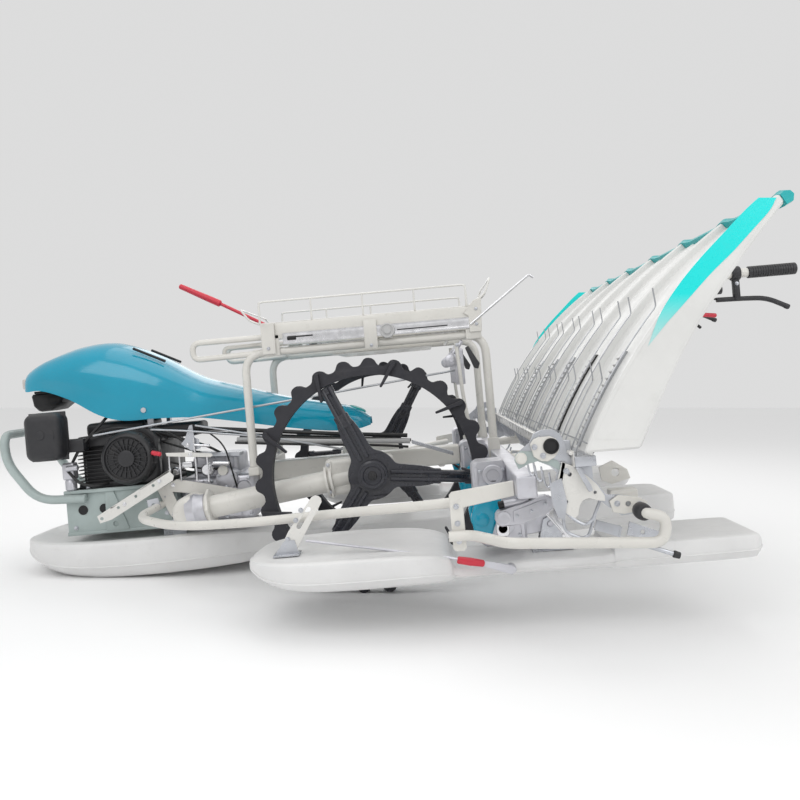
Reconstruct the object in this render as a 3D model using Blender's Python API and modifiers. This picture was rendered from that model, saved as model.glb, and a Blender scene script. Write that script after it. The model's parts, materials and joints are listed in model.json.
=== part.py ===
"""Walk-behind six-row rice transplanter, built piece by piece in Blender.

Everything is modelled in the machine's own level frame: x runs aft from the wheel hubs,
y to the right, z up from the ground under the wheels.  The finished pieces hang from an
empty that sets the machine down as it parks, nose low, on both wheels and the centre float.
"""
import math

import bmesh
import bpy
from mathutils import Matrix, Vector

# --- stance -----------------------------------------------------------------
NOSE_DOWN = math.radians(5.0)
HUB_X_WORLD = -0.0333
SEAT = 0.0003
SIDES = (("left", -1), ("right", 1))

# --- wheels -----------------------------------------------------------------
WHEEL_R = 0.330
WHEEL_Y = 0.340
LUG_COUNT = 27
LUG_HEIGHT = 0.022
RIM_WIDTH = 0.034
RIM_BAND = 0.026
SPOKE_T = 0.014
SPOKE_ANGLES = {"left": math.radians(-6), "right": math.radians(59)}
HUB_R = 0.042

# --- swing cases (the wheel legs) -------------------------------------------
PIVOT_X, PIVOT_Z = -0.550, 0.258
ELBOW_R = 0.048
LEG_Y = 0.255
LEG_R = 0.033
FINAL_CASE = (0.075, 0.062, 0.030)

# --- engine and hood --------------------------------------------------------
FRAME_X = (-0.960, -0.620)
FRAME_Z = (0.200, 0.335)
FRAME_HALF_Y = 0.145
FRAME_WALL = 0.005
ENGINE_X = (-0.930, -0.660)
ENGINE_HALF_Y = 0.120
ENGINE_TOP = 0.500
FAN_X, FAN_Z, FAN_R = -0.747, 0.425, 0.085
FAN_DEPTH = 0.075
CLEANER_X, CLEANER_Z = -0.985, 0.510
CLEANER_SIZE = (0.110, 0.090, 0.145)
BUMPER_R = 0.0135
HOOD_WALL = 0.004
STAY_R = 0.008
STAY_X, STAY_Z = -0.700, 0.565

# --- gearbox, main frame and rear cross beam --------------------------------
GEARBOX_X = (-0.6197, -0.390)
GEARBOX_Z = (0.200, 0.405)
GEARBOX_HALF_Y = 0.110
AXLE_TUBE_R = 0.040
SPINE_HALF_Y = 0.030
SPINE_Z = (0.303, 0.363)
RACK_FOOT_X = -0.361
BEAM_X = (0.3450, 0.3900)
BEAM_Z = (0.310, 0.360)
BEAM_HALF_Y = 0.8497

# --- planting cases, cranks and arms ----------------------------------------
CASE_Y = (-0.600, 0.0, 0.600)
CASE_NAMES = ("left", "center", "right")
CASE_HALF_Y = 0.040
CASE_FRONT = 0.262
CASE_BACK = 0.385
CASE_Z = (0.165, 0.376)
CRANK_X, CRANK_Z = 0.320, 0.222
CRANK_THROW = 0.034
SHAFT_R = 0.012
PIN_R = 0.007
RUNNING_GAP = 0.0008
WEB_Y = (0.098, 0.110)
ARM_Y = (0.1375, 0.1625)
CLAW_HALF_Y = 0.007

# --- floats -----------------------------------------------------------------
FLOAT_WALL = 0.005
FLOAT_PIVOT_X, FLOAT_PIVOT_Z = 0.445, 0.205
LUG_T = 0.012
EAR_T = 0.007
SIDE_FLOAT_Y = 0.600
LINK_Y = 0.672

# --- seedling tray ----------------------------------------------------------
TRAY_BOTTOM = (0.505, 0.3975)
TRAY_TOP = (0.944, 0.891)
TRAY_SAGITTA = 0.046
TRAY_HALF_Y = 0.900
TRAY_WALL = 0.004
ROWS = 6
ROW_PITCH = 0.300
RIB_HEIGHT = 0.018
RIB_WIDTH = 0.022
FIN_T = 0.020
TRAVEL_RAIL_X = (0.469, 0.515)
TRAVEL_RAIL_Z = (0.374, 0.396)
BRACKET_T = 0.006

# --- handles ----------------------------------------------------------------
HANDLE_Y = 0.280
HANDLE_R = 0.0135
GRIP_R = 0.0175
GRIP_X = (1.122, 1.266)
GRIP_Z = 0.812

# --- spare seedling rack ----------------------------------------------------
RACK_Y = 0.210
RACK_R = 0.0125
RACK_X = (-0.361, 0.358)
RACK_TOP_Z = 0.705
RAIL_Z = (0.742, 0.788)
RAIL_X = (-0.300, 0.350)
BASKET_X = (-0.313, 0.317)
BASKET_HALF_Y = 0.200
BASKET_Z = RAIL_Z[1] + SEAT
BASKET_SIDE = 0.072
WIRE = 0.006
WELD_STEP = 0.0006
TAB_T = 0.004
HOOK_R = 0.004

# --- guards -----------------------------------------------------------------
GUARD_R = 0.012
CLAMP_Y = 0.800

COLOURS = {
    "cream_paint": ((0.760, 0.735, 0.670), 0.42, 0.0),
    "hood_teal": ((0.004, 0.300, 0.430), 0.16, 0.0),
    "frame_grey_green": ((0.330, 0.400, 0.390), 0.45, 0.0),
    "cast_aluminium": ((0.560, 0.560, 0.600), 0.40, 0.9),
    "zinc_plate": ((0.640, 0.650, 0.700), 0.32, 0.9),
    "engine_black": ((0.018, 0.018, 0.020), 0.45, 0.2),
    "black_plastic": ((0.020, 0.020, 0.022), 0.50, 0.0),
    "wheel_black": ((0.020, 0.021, 0.028), 0.38, 0.0),
    "wheel_rubber": ((0.022, 0.022, 0.026), 0.70, 0.0),
    "float_white": ((0.740, 0.745, 0.750), 0.50, 0.0),
    "tray_white": ((0.720, 0.735, 0.720), 0.45, 0.0),
    "trim_teal": ((0.000, 0.420, 0.400), 0.35, 0.0),
    "grip_red": ((0.640, 0.050, 0.070), 0.45, 0.0),
    "wire_white": ((0.780, 0.770, 0.730), 0.35, 0.0),
}


# --- scene helpers ----------------------------------------------------------
def clear_scene():
    for obj in list(bpy.data.objects):
        bpy.data.objects.remove(obj, do_unlink=True)


def new_collection(name):
    group = bpy.data.collections.new(name)
    bpy.context.scene.collection.children.link(group)
    return group


clear_scene()
PARTS = new_collection("rice_transplanter")


def material(slot):
    found = bpy.data.materials.get(slot)
    if found:
        return found
    colour, roughness, metallic = COLOURS[slot]
    made = bpy.data.materials.new(slot)
    made.use_nodes = True
    shader = made.node_tree.nodes["Principled BSDF"]
    shader.inputs["Base Color"].default_value = (*colour, 1.0)
    shader.inputs["Roughness"].default_value = roughness
    shader.inputs["Metallic"].default_value = metallic
    return made


def add_object(name, data):
    obj = bpy.data.objects.new(name, data)
    PARTS.objects.link(obj)
    return obj


def face_out(bm):
    bm.normal_update()
    bmesh.ops.recalc_face_normals(bm, faces=bm.faces)
    closed = all(edge.is_manifold for edge in bm.edges)
    if closed and bm.calc_volume(signed=True) < 0:
        bmesh.ops.reverse_faces(bm, faces=bm.faces)


def mesh_object(name, bm):
    face_out(bm)
    data = bpy.data.meshes.new(name)
    bm.to_mesh(data)
    bm.free()
    return add_object(name, data)


def freeze(obj, weld=0.00001):
    """Swap an object for a plain mesh of what its curve or modifiers make."""
    depsgraph = bpy.context.evaluated_depsgraph_get()
    data = bpy.data.meshes.new_from_object(obj.evaluated_get(depsgraph))
    bm = bmesh.new()
    bm.from_mesh(data)
    bmesh.ops.remove_doubles(bm, verts=bm.verts, dist=weld)
    face_out(bm)
    bm.to_mesh(data)
    bm.free()
    name = obj.name
    place = obj.matrix_world.copy()
    bpy.data.objects.remove(obj, do_unlink=True)
    solid = add_object(name, data)
    data.transform(place)
    return solid


def combine(base, tools, operation="UNION"):
    """Union the tools into the base, or cut them from it, and freeze the result."""
    for tool in tools:
        step = base.modifiers.new(operation.lower(), "BOOLEAN")
        step.operation = operation
        step.solver = "EXACT"
        step.object = tool
    result = freeze(base)
    for tool in tools:
        bpy.data.objects.remove(tool, do_unlink=True)
    return result


# --- shapes, all in the machine's frame --------------------------------------
def box(name, xs, ys, zs, bevel=0.0):
    bm = bmesh.new()
    bmesh.ops.create_cube(bm, size=1.0)
    size = Vector((xs[1] - xs[0], ys[1] - ys[0], zs[1] - zs[0]))
    middle = Vector((xs[0] + xs[1], ys[0] + ys[1], zs[0] + zs[1])) / 2
    bmesh.ops.scale(bm, vec=size, verts=bm.verts)
    bmesh.ops.translate(bm, vec=middle, verts=bm.verts)
    if bevel:
        bmesh.ops.bevel(bm, geom=bm.edges[:], offset=bevel, segments=1, affect="EDGES")
    return mesh_object(name, bm)


def rod(name, start, end, radius, end_radius=None, sides=20):
    start, end = Vector(start), Vector(end)
    along = end - start
    bm = bmesh.new()
    bmesh.ops.create_cone(bm, cap_ends=True, segments=sides, radius1=radius,
                          radius2=radius if end_radius is None else end_radius,
                          depth=along.length)
    turn = along.to_track_quat("Z", "Y").to_matrix().to_4x4()
    bm.transform(Matrix.Translation((start + end) / 2) @ turn)
    return mesh_object(name, bm)


def disc_along_y(name, x, z, ys, radius, sides=24):
    return rod(name, (x, ys[0], z), (x, ys[1], z), radius, sides=sides)


def round_corners(points, radius, steps=4):
    """The points with an arc of the given radius in place of each inner corner."""
    points = [Vector(p) for p in points]
    path = [points[0]]
    for before, corner, after in zip(points, points[1:], points[2:]):
        back = (before - corner).normalized()
        ahead = (after - corner).normalized()
        half = math.acos(max(-1.0, min(1.0, back.dot(ahead)))) / 2
        if half > math.radians(88):
            path.append(corner)
            continue
        reach = min(radius / math.tan(half), (before - corner).length * 0.49,
                    (after - corner).length * 0.49)
        bend = reach * math.tan(half)
        centre = corner + (back + ahead).normalized() * (bend / math.sin(half))
        first = corner + back * reach - centre
        last = corner + ahead * reach - centre
        turn = first.angle(last)
        for i in range(steps + 1):
            t = i / steps
            mix = (first * math.sin((1 - t) * turn) + last * math.sin(t * turn)) / math.sin(turn)
            path.append(centre + mix)
    path.append(points[-1])
    return path


def tube(name, points, radius, corner=0.05, steps=4, resolution=2):
    curve = bpy.data.curves.new(name, "CURVE")
    curve.dimensions = "3D"
    curve.bevel_depth = radius
    curve.bevel_resolution = resolution
    curve.use_fill_caps = True
    path = round_corners(points, corner, steps)
    spline = curve.splines.new("POLY")
    spline.points.add(len(path) - 1)
    for knot, place in zip(spline.points, path):
        knot.co = (*place, 1.0)
    return freeze(add_object(name, curve))


def outline_plate(name, outline, ys, holes=()):
    """A flat plate in the x-z plane between two values of y."""
    curve = bpy.data.curves.new(name, "CURVE")
    curve.dimensions = "2D"
    curve.fill_mode = "BOTH"
    curve.extrude = abs(ys[1] - ys[0]) / 2
    for loop in (outline, *holes):
        spline = curve.splines.new("POLY")
        spline.points.add(len(loop) - 1)
        for knot, (x, z) in zip(spline.points, loop):
            knot.co = (x, z, 0.0, 1.0)
        spline.use_cyclic_u = True
    obj = add_object(name, curve)
    obj.matrix_world = (Matrix.Translation((0, (ys[0] + ys[1]) / 2, 0))
                        @ Matrix.Rotation(math.radians(90), 4, "X"))
    bpy.context.view_layer.update()
    return freeze(obj)


def ring_points(x, z, radius, count, start=0.0):
    step = 2 * math.pi / count
    return [(x + radius * math.cos(start + i * step), z + radius * math.sin(start + i * step))
            for i in range(count)]


def rounded_slot(x, z, length, height, slope, count=4):
    """A slot with round ends, its long axis raised by the slope angle."""
    half = (length - height) / 2
    ring = []
    for end, base in ((1, -math.pi / 2), (-1, math.pi / 2)):
        for i in range(count + 1):
            angle = base + math.pi * i / count
            ring.append((end * half + height / 2 * math.cos(angle), height / 2 * math.sin(angle)))
    c, s = math.cos(slope), math.sin(slope)
    return [(x + u * c - v * s, z + u * s + v * c) for u, v in ring]


def skin_rings(bm, rings, closed):
    """Faces between neighbouring rings of equally many vertices."""
    verts = [[bm.verts.new(p) for p in ring] for ring in rings]
    count = len(rings[0])
    last = count if closed else count - 1
    for a, b in zip(verts, verts[1:]):
        for i in range(last):
            j = (i + 1) % count
            bm.faces.new((a[i], a[j], b[j], b[i]))
    return verts


def thicken(obj, wall, offset=-1.0):
    step = obj.modifiers.new("wall", "SOLIDIFY")
    step.thickness = wall
    step.offset = offset
    step.use_even_offset = True
    return freeze(obj)


# --- placing ----------------------------------------------------------------
STANCE = bpy.data.objects.new("stance", None)
PARTS.objects.link(STANCE)
HUB = Vector((0.0, 0.0, WHEEL_R))
TILT = Matrix.Rotation(-NOSE_DOWN, 4, "Y")
STANCE.matrix_world = (Matrix.Translation((HUB_X_WORLD, 0, WHEEL_R)) @ TILT
                       @ Matrix.Translation(-HUB))


def axis_empty(name, place, parent=None):
    """An empty on a joint's axis; what moves with the joint hangs from it."""
    empty = bpy.data.objects.new(name, None)
    PARTS.objects.link(empty)
    empty.parent = parent or STANCE
    offset = Vector(parent["machine_place"]) if parent else Vector((0, 0, 0))
    empty.location = Vector(place) - offset
    empty["machine_place"] = tuple(place)
    empty.empty_display_size = 0.05
    return empty


def finish(obj, slot, parent=None):
    """Give a piece its material and hang it from the stance or from its joint's empty."""
    obj.data.materials.clear()
    obj.data.materials.append(material(slot))
    if parent:
        obj.data.transform(Matrix.Translation(-Vector(parent["machine_place"])))
    obj.parent = parent or STANCE
    return obj


# --- engine end -------------------------------------------------------------
def make_engine_frame():
    inner_x = (FRAME_X[0] + FRAME_WALL, FRAME_X[1] - FRAME_WALL)
    inner_y = FRAME_HALF_Y - FRAME_WALL
    shell = box("engine_frame", FRAME_X, (-FRAME_HALF_Y, FRAME_HALF_Y), FRAME_Z)
    hollow = box("hollow", inner_x, (-inner_y, inner_y), (FRAME_Z[0] + FRAME_WALL, 1.0))
    holes = [disc_along_y("hole", x, FRAME_Z[0] + 0.075, (-0.3, 0.3), 0.014, sides=12)
             for x in (FRAME_X[0] + 0.05, FRAME_X[0] + 0.115)]
    notch = box("notch", (-1.0, FRAME_X[0] + 0.10), (-0.2, 0.2), (0.0, FRAME_Z[0] - 0.001))
    finish(combine(shell, [hollow, *holes, notch], "DIFFERENCE"), "frame_grey_green")


def make_bumper():
    y = FRAME_HALF_Y + SEAT + BUMPER_R
    side = [(-0.900, 0.312), (-1.040, 0.318), (-1.124, 0.440), (-1.128, 0.525)]
    path = [(x, -y, z) for x, z in side] + [(x, y, z) for x, z in reversed(side)]
    finish(tube("front_bumper", path, BUMPER_R, corner=0.06), "frame_grey_green")


def make_engine():
    floor = FRAME_Z[0] + FRAME_WALL + SEAT
    crankcase = box("engine_block", ENGINE_X, (-ENGINE_HALF_Y, ENGINE_HALF_Y),
                    (floor, ENGINE_TOP), bevel=0.012)
    muffler = rod("muffler", (-0.905, 0.150, 0.445), (-0.700, 0.150, 0.445), 0.042, sides=14)
    finish(combine(crankcase, [muffler]), "engine_black")
    near = -ENGINE_HALF_Y - SEAT
    rim = disc_along_y("recoil_housing", FAN_X, FAN_Z, (near - FAN_DEPTH, near), FAN_R)
    dish = disc_along_y("dish", FAN_X, FAN_Z, (near - FAN_DEPTH - 0.01, near - FAN_DEPTH + 0.012),
                        FAN_R - 0.014)
    finish(combine(rim, [dish], "DIFFERENCE"), "engine_black")
    length, depth, height = CLEANER_SIZE
    body = box("air_cleaner", (CLEANER_X - length / 2, CLEANER_X + length / 2),
               (near - 0.012 - depth, near - 0.012),
               (CLEANER_Z - height / 2, CLEANER_Z + height / 2), bevel=0.022)
    neck = box("neck", (CLEANER_X, ENGINE_X[0] + 0.045), (near - 0.040, near),
               (CLEANER_Z - 0.055, CLEANER_Z - 0.015))
    finish(combine(body, [neck]), "black_plastic")


# hood stations: x, half width, top z, lower edge z
HOOD_STATIONS = (
    (-1.104, 0.052, 0.702, 0.656),
    (-1.080, 0.088, 0.724, 0.652),
    (-1.020, 0.118, 0.754, 0.650),
    (-0.930, 0.140, 0.781, 0.616),
    (-0.841, 0.150, 0.790, 0.562),
    (-0.765, 0.150, 0.774, 0.538),
    (-0.665, 0.150, 0.727, 0.536),
    (-0.546, 0.132, 0.655, 0.528),
    (-0.432, 0.112, 0.616, 0.506),
    (-0.278, 0.094, 0.568, 0.472),
    (-0.140, 0.078, 0.535, 0.448),
    (-0.058, 0.064, 0.512, 0.446),
    (-0.015, 0.040, 0.480, 0.454),
)
HOOD_ARCH = ((1.00, 0.00), (1.00, 0.22), (0.97, 0.50), (0.86, 0.74), (0.62, 0.90), (0.32, 0.98))


def make_hood():
    rings = []
    for x, half, top, low in HOOD_STATIONS:
        side = [(half * u, low + (top - low) * v) for u, v in HOOD_ARCH]
        ring = [(x, -y, z) for y, z in side] + [(x, 0.0, top)]
        ring += [(x, y, z) for y, z in reversed(side)]
        rings.append(ring)
    bm = bmesh.new()
    verts = skin_rings(bm, rings, closed=False)
    bm.faces.new(list(reversed(verts[0])))
    bm.faces.new(verts[-1])
    hood = mesh_object("hood", bm)
    face_up = hood.data.polygons[len(HOOD_ARCH) * 4 + 5]
    if face_up.normal.z < 0:
        hood.data.flip_normals()
    finish(thicken(hood, HOOD_WALL), "hood_teal")


def make_hood_stay():
    half = HOOD_STATIONS[5][1] - HOOD_WALL - SEAT
    bar = rod("hood_stay", (STAY_X, -half, STAY_Z), (STAY_X, half, STAY_Z), STAY_R, sides=12)
    foot = ENGINE_TOP + SEAT
    posts = [box("post", (STAY_X - 0.006, STAY_X + 0.006), (y - 0.010, y + 0.010), (foot, STAY_Z))
             for y in (-0.09, 0.09)]
    finish(combine(bar, posts), "zinc_plate")


# --- gearbox, spine, beam ---------------------------------------------------
def make_gearbox():
    lower = box("gearbox", GEARBOX_X, (-GEARBOX_HALF_Y, GEARBOX_HALF_Y),
                (GEARBOX_Z[0], 0.340), bevel=0.010)
    upper = box("upper", (-0.585, -0.440), (-0.075, 0.075), (0.320, GEARBOX_Z[1]), bevel=0.012)
    reach = LEG_Y - LEG_R - 0.034 - SEAT
    axle = disc_along_y("axle", PIVOT_X, PIVOT_Z, (-reach, reach), AXLE_TUBE_R)
    cap = disc_along_y("cap", -0.470, 0.330, (-0.125, 0.125), 0.034, sides=16)
    finish(combine(lower, [upper, axle, cap]), "cast_aluminium")


def make_spine():
    front = GEARBOX_X[1] + SEAT
    spine = box("main_frame", (front, CASE_FRONT - SEAT), (-SPINE_HALF_Y, SPINE_HALF_Y), SPINE_Z)
    foot = box("foot", (RACK_FOOT_X - 0.016, RACK_FOOT_X + 0.016), (-RACK_Y - 0.014, RACK_Y + 0.014),
               (SPINE_Z[1] - 0.020, SPINE_Z[1] + 0.006))
    finish(combine(spine, [foot]), "cream_paint")
    finish(box("rear_cross_beam", BEAM_X, (-BEAM_HALF_Y, BEAM_HALF_Y), BEAM_Z), "cream_paint")


# --- planting units ---------------------------------------------------------
def make_planting_case(name, y):
    """Chain case with a bored crank bearing and the lug its float hangs from."""
    step_x, step_z = BEAM_X[0] - SEAT, BEAM_Z[0] - SEAT
    outline = [(CASE_FRONT, CASE_Z[0] + 0.02), (CASE_FRONT + 0.02, CASE_Z[0]),
               (CASE_BACK, CASE_Z[0]), (CASE_BACK, step_z), (step_x, step_z),
               (step_x, CASE_Z[1]), (CASE_FRONT, CASE_Z[1])]
    bore = ring_points(CRANK_X, CRANK_Z, SHAFT_R + RUNNING_GAP, 24)
    case = outline_plate(f"planting_case_{name}", outline, (y - CASE_HALF_Y, y + CASE_HALF_Y),
                         holes=[bore])
    lug = outline_plate("lug", [(CASE_BACK - 0.005, 0.180), (FLOAT_PIVOT_X, FLOAT_PIVOT_Z - 0.016),
                                (FLOAT_PIVOT_X + 0.014, FLOAT_PIVOT_Z),
                                (FLOAT_PIVOT_X, FLOAT_PIVOT_Z + 0.016),
                                (CASE_BACK - 0.005, 0.250)],
                        (y - LUG_T / 2, y + LUG_T / 2))
    reach = LUG_T / 2 + 0.002 + EAR_T + 0.003
    pin = disc_along_y("pin", FLOAT_PIVOT_X, FLOAT_PIVOT_Z, (y - reach, y + reach), PIN_R, sides=16)
    finish(combine(case, [lug, pin]), "cast_aluminium")


def make_crank(name, y, axis):
    """Shaft through the case with a web and a pin at each end."""
    shaft = disc_along_y(f"crank_{name}", CRANK_X, CRANK_Z, (y - WEB_Y[1], y + WEB_Y[1]), SHAFT_R)
    pieces = []
    for side in (-1, 1):
        web = outline_plate("web", [(CRANK_X - 0.016, CRANK_Z - 0.018), (CRANK_X + 0.016, CRANK_Z - 0.018),
                                    (CRANK_X + 0.011, CRANK_Z + CRANK_THROW + 0.011),
                                    (CRANK_X - 0.011, CRANK_Z + CRANK_THROW + 0.011)],
                            (y + side * WEB_Y[0], y + side * WEB_Y[1]))
        pin = disc_along_y("pin", CRANK_X, CRANK_Z + CRANK_THROW,
                           (y + side * (WEB_Y[1] - 0.004), y + side * ARM_Y[1]), PIN_R, sides=16)
        pieces += [web, pin]
    finish(combine(shaft, pieces), "zinc_plate", axis)


def make_arm(number, y, axis):
    """Planting arm: a flat case on the crank pin with a claw at its head."""
    px, pz = CRANK_X, CRANK_Z + CRANK_THROW
    body = [(px - 0.020, pz - 0.008), (px - 0.008, pz - 0.020), (px + 0.040, pz - 0.018),
            (px + 0.100, pz + 0.002), (px + 0.118, pz + 0.018), (px + 0.112, pz + 0.040),
            (px + 0.085, pz + 0.044), (px + 0.010, pz + 0.022), (px - 0.014, pz + 0.018)]
    bore = ring_points(px, pz, PIN_R + RUNNING_GAP, 16)
    half = (ARM_Y[1] - ARM_Y[0]) / 2
    arm = outline_plate(f"planting_arm_{number}", body, (y - half, y + half), holes=[bore])
    claw = outline_plate("claw", [(px + 0.090, pz + 0.010), (px + 0.110, pz + 0.020),
                                  (px + 0.150, pz - 0.062), (px + 0.146, pz - 0.066)],
                         (y - CLAW_HALF_Y, y + CLAW_HALF_Y))
    finish(combine(arm, [claw]), "cast_aluminium", axis)


def make_planting_units():
    crank_place = (CRANK_X, 0.0, CRANK_Z)
    pin_place = (CRANK_X, 0.0, CRANK_Z + CRANK_THROW)
    number = 1
    for name, y in zip(CASE_NAMES, CASE_Y):
        make_planting_case(name, y)
        crank_axis = axis_empty(f"crank_axis_{name}", (crank_place[0], y, crank_place[2]))
        arm_axis = axis_empty(f"arm_axis_{name}", (pin_place[0], y, pin_place[2]), crank_axis)
        make_crank(name, y, crank_axis)
        middle = sum(ARM_Y) / 2
        for side in (-1, 1):
            make_arm(number, y + side * middle, arm_axis)
            number += 1


# --- wheels and legs --------------------------------------------------------
def make_wheel(name, side):
    y = side * WHEEL_Y
    axis = axis_empty(f"wheel_axis_{name}", (0.0, y, WHEEL_R))
    crown = WHEEL_R - LUG_HEIGHT
    pitch = 2 * math.pi / LUG_COUNT
    rim = []
    for i in range(LUG_COUNT):
        for share, radius in ((-0.30, crown), (-0.14, WHEEL_R - 0.003), (0.0, WHEEL_R),
                              (0.14, WHEEL_R - 0.003), (0.30, crown)):
            angle = (i + share) * pitch + SPOKE_ANGLES[name]
            rim.append((radius * math.cos(angle), WHEEL_R + radius * math.sin(angle)))
    inner = ring_points(0, WHEEL_R, crown - RIM_BAND, 2 * LUG_COUNT, SPOKE_ANGLES[name])
    band = outline_plate(f"wheel_rim_{name}", rim, (y - RIM_WIDTH / 2, y + RIM_WIDTH / 2),
                         holes=[inner])
    finish(band, "wheel_rubber", axis)

    tip = crown - RIM_BAND - 0.001
    star = []
    for k in range(3):
        spoke = SPOKE_ANGLES[name] + k * math.radians(120)
        for radius, across in ((0.062, -0.052), (0.100, -0.040), (0.165, -0.024), (tip, -0.013),
                               (tip, 0.013), (0.165, 0.024), (0.100, 0.040), (0.062, 0.052)):
            star.append((radius * math.cos(spoke) - across * math.sin(spoke),
                         WHEEL_R + radius * math.sin(spoke) + across * math.cos(spoke)))
    spider = outline_plate(f"wheel_spider_{name}", star, (y - SPOKE_T / 2, y + SPOKE_T / 2))
    inside = side * (LEG_Y + LEG_R + SEAT)
    hub = disc_along_y("hub", 0, WHEEL_R, (inside, y + side * 0.030), HUB_R)
    finish(combine(spider, [hub]), "wheel_black", axis)


def make_leg(name, side):
    """Swing case: an elbow on the cross axle, a fat tube and the final case at the hub."""
    axis = axis_empty(f"leg_axis_{name}", (PIVOT_X, side * LEG_Y, PIVOT_Z))
    inner = side * (LEG_Y - LEG_R - 0.034)
    outer = side * (LEG_Y + LEG_R)
    elbow = disc_along_y(f"swing_leg_{name}", PIVOT_X, PIVOT_Z, (inner, outer), ELBOW_R)
    along = Vector((0 - PIVOT_X, 0, WHEEL_R - PIVOT_Z)).normalized()
    tube_end = Vector((0, side * LEG_Y, WHEEL_R)) - along * 0.05
    shank = rod("shank", (PIVOT_X, side * LEG_Y, PIVOT_Z), tube_end, LEG_R, sides=16)
    length, height, half_y = FINAL_CASE
    case = box("case", (-length * 1.9, length * 0.75), (side * LEG_Y - half_y, side * LEG_Y + half_y),
               (WHEEL_R - height * 0.95, WHEEL_R + height * 0.75), bevel=0.012)
    boss = disc_along_y("boss", 0, WHEEL_R, (side * (LEG_Y - 0.02), outer), 0.036)
    finish(combine(elbow, [shank, case, boss]), "cream_paint", axis)
    return axis


# --- floats -----------------------------------------------------------------
# stations: x, half width, deck z, keel z, keel half width share
SIDE_FLOAT = (
    (-0.292, 0.050, 0.188, 0.176, 0.7), (-0.275, 0.105, 0.194, 0.160, 0.7),
    (-0.230, 0.155, 0.196, 0.138, 0.8), (-0.150, 0.182, 0.196, 0.124, 0.85),
    (-0.020, 0.186, 0.194, 0.120, 0.88), (0.110, 0.176, 0.188, 0.118, 0.88),
    (0.185, 0.148, 0.172, 0.114, 0.88), (0.215, 0.122, 0.142, 0.112, 0.88),
    (0.380, 0.108, 0.142, 0.108, 0.88), (0.560, 0.108, 0.142, 0.104, 0.88),
    (0.605, 0.112, 0.160, 0.102, 0.88), (0.880, 0.112, 0.160, 0.100, 0.88),
    (0.920, 0.100, 0.156, 0.104, 0.88), (0.936, 0.078, 0.144, 0.112, 0.9),
)
CENTRE_FLOAT = (
    (-1.108, 0.080, 0.196, 0.176, 0.6), (-1.088, 0.135, 0.198, 0.140, 0.6),
    (-1.040, 0.185, 0.194, 0.108, 0.7), (-0.965, 0.215, 0.190, 0.086, 0.8),
    (-0.860, 0.225, 0.186, 0.074, 0.85), (-0.700, 0.222, 0.184, 0.070, 0.88),
    (-0.560, 0.205, 0.182, 0.070, 0.88), (-0.460, 0.170, 0.172, 0.070, 0.88),
    (-0.380, 0.128, 0.160, 0.070, 0.88), (-0.200, 0.110, 0.150, 0.070, 0.88),
    (0.560, 0.108, 0.150, 0.070, 0.88), (0.610, 0.112, 0.166, 0.072, 0.88),
    (0.880, 0.112, 0.166, 0.074, 0.88), (0.915, 0.080, 0.150, 0.092, 0.9),
)


def float_ring(station, y):
    """Cross-section of a float: flat deck and keel, slanting sides."""
    x, half, deck, keel, share = station
    chine = keel + (deck - keel) * 0.30
    side = [(half * share, keel), (half * 0.98, chine), (half, deck - 0.012), (half - 0.010, deck)]
    ring = [(x, y + u, v) for u, v in side]
    return ring + [(x, y - u, v) for u, v in reversed(side)]


def make_float(name, y, stations):
    """Hollow hull with a drain opening in its stern, and the ears it hangs by."""
    axis = axis_empty(f"float_axis_{name}", (FLOAT_PIVOT_X, y, FLOAT_PIVOT_Z))
    bm = bmesh.new()
    verts = skin_rings(bm, [float_ring(s, y) for s in stations], closed=True)
    bm.faces.new(list(reversed(verts[0])))
    stern = bm.faces.new(verts[-1])
    bmesh.ops.recalc_face_normals(bm, faces=bm.faces)
    bmesh.ops.inset_region(bm, faces=[stern], thickness=0.016)
    bmesh.ops.delete(bm, geom=[stern], context="FACES")
    hull = mesh_object(f"float_{name}", bm)
    for polygon in hull.data.polygons:
        if polygon.center.z < 0.10 and abs(polygon.normal.z) > 0.9:
            if polygon.normal.z > 0:
                hull.data.flip_normals()
            break
    finish(thicken(hull, FLOAT_WALL), "float_white", axis)
    deck = min(height for _, _, height, _, _ in stations) + SEAT
    bore = ring_points(FLOAT_PIVOT_X, FLOAT_PIVOT_Z, PIN_R + RUNNING_GAP, 16)
    ear = [(FLOAT_PIVOT_X - 0.035, deck), (FLOAT_PIVOT_X + 0.035, deck),
           (FLOAT_PIVOT_X + 0.016, FLOAT_PIVOT_Z + 0.012), (FLOAT_PIVOT_X, FLOAT_PIVOT_Z + 0.018),
           (FLOAT_PIVOT_X - 0.016, FLOAT_PIVOT_Z + 0.012)]
    gap = LUG_T / 2 + 0.002
    ears = [outline_plate("ear", ear, (y + side * gap, y + side * (gap + EAR_T)), holes=[bore])
            for side in (-1, 1)]
    base = box(f"float_bracket_{name}", (FLOAT_PIVOT_X - 0.050, FLOAT_PIVOT_X + 0.050),
               (y - 0.035, y + 0.035), (deck, deck + 0.004))
    finish(combine(base, ears), "zinc_plate", axis)
    return axis


def make_float_link(name, side, axis):
    """Slotted plate that guides the nose of a side float."""
    deck = SIDE_FLOAT[3][2] + SEAT
    y = side * LINK_Y
    slot = rounded_slot(-0.150, 0.282, 0.060, 0.011, math.radians(56))
    plate = outline_plate(f"float_link_{name}", [(-0.222, deck), (-0.180, deck), (-0.104, 0.318),
                                                 (-0.110, 0.330), (-0.126, 0.333), (-0.190, 0.252)],
                          (y - 0.0025, y + 0.0025), holes=[slot])
    foot = box("foot", (-0.228, -0.165), (y - 0.022, y + 0.022), (deck, deck + 0.005))
    finish(combine(plate, [foot]), "zinc_plate", axis)


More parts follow.
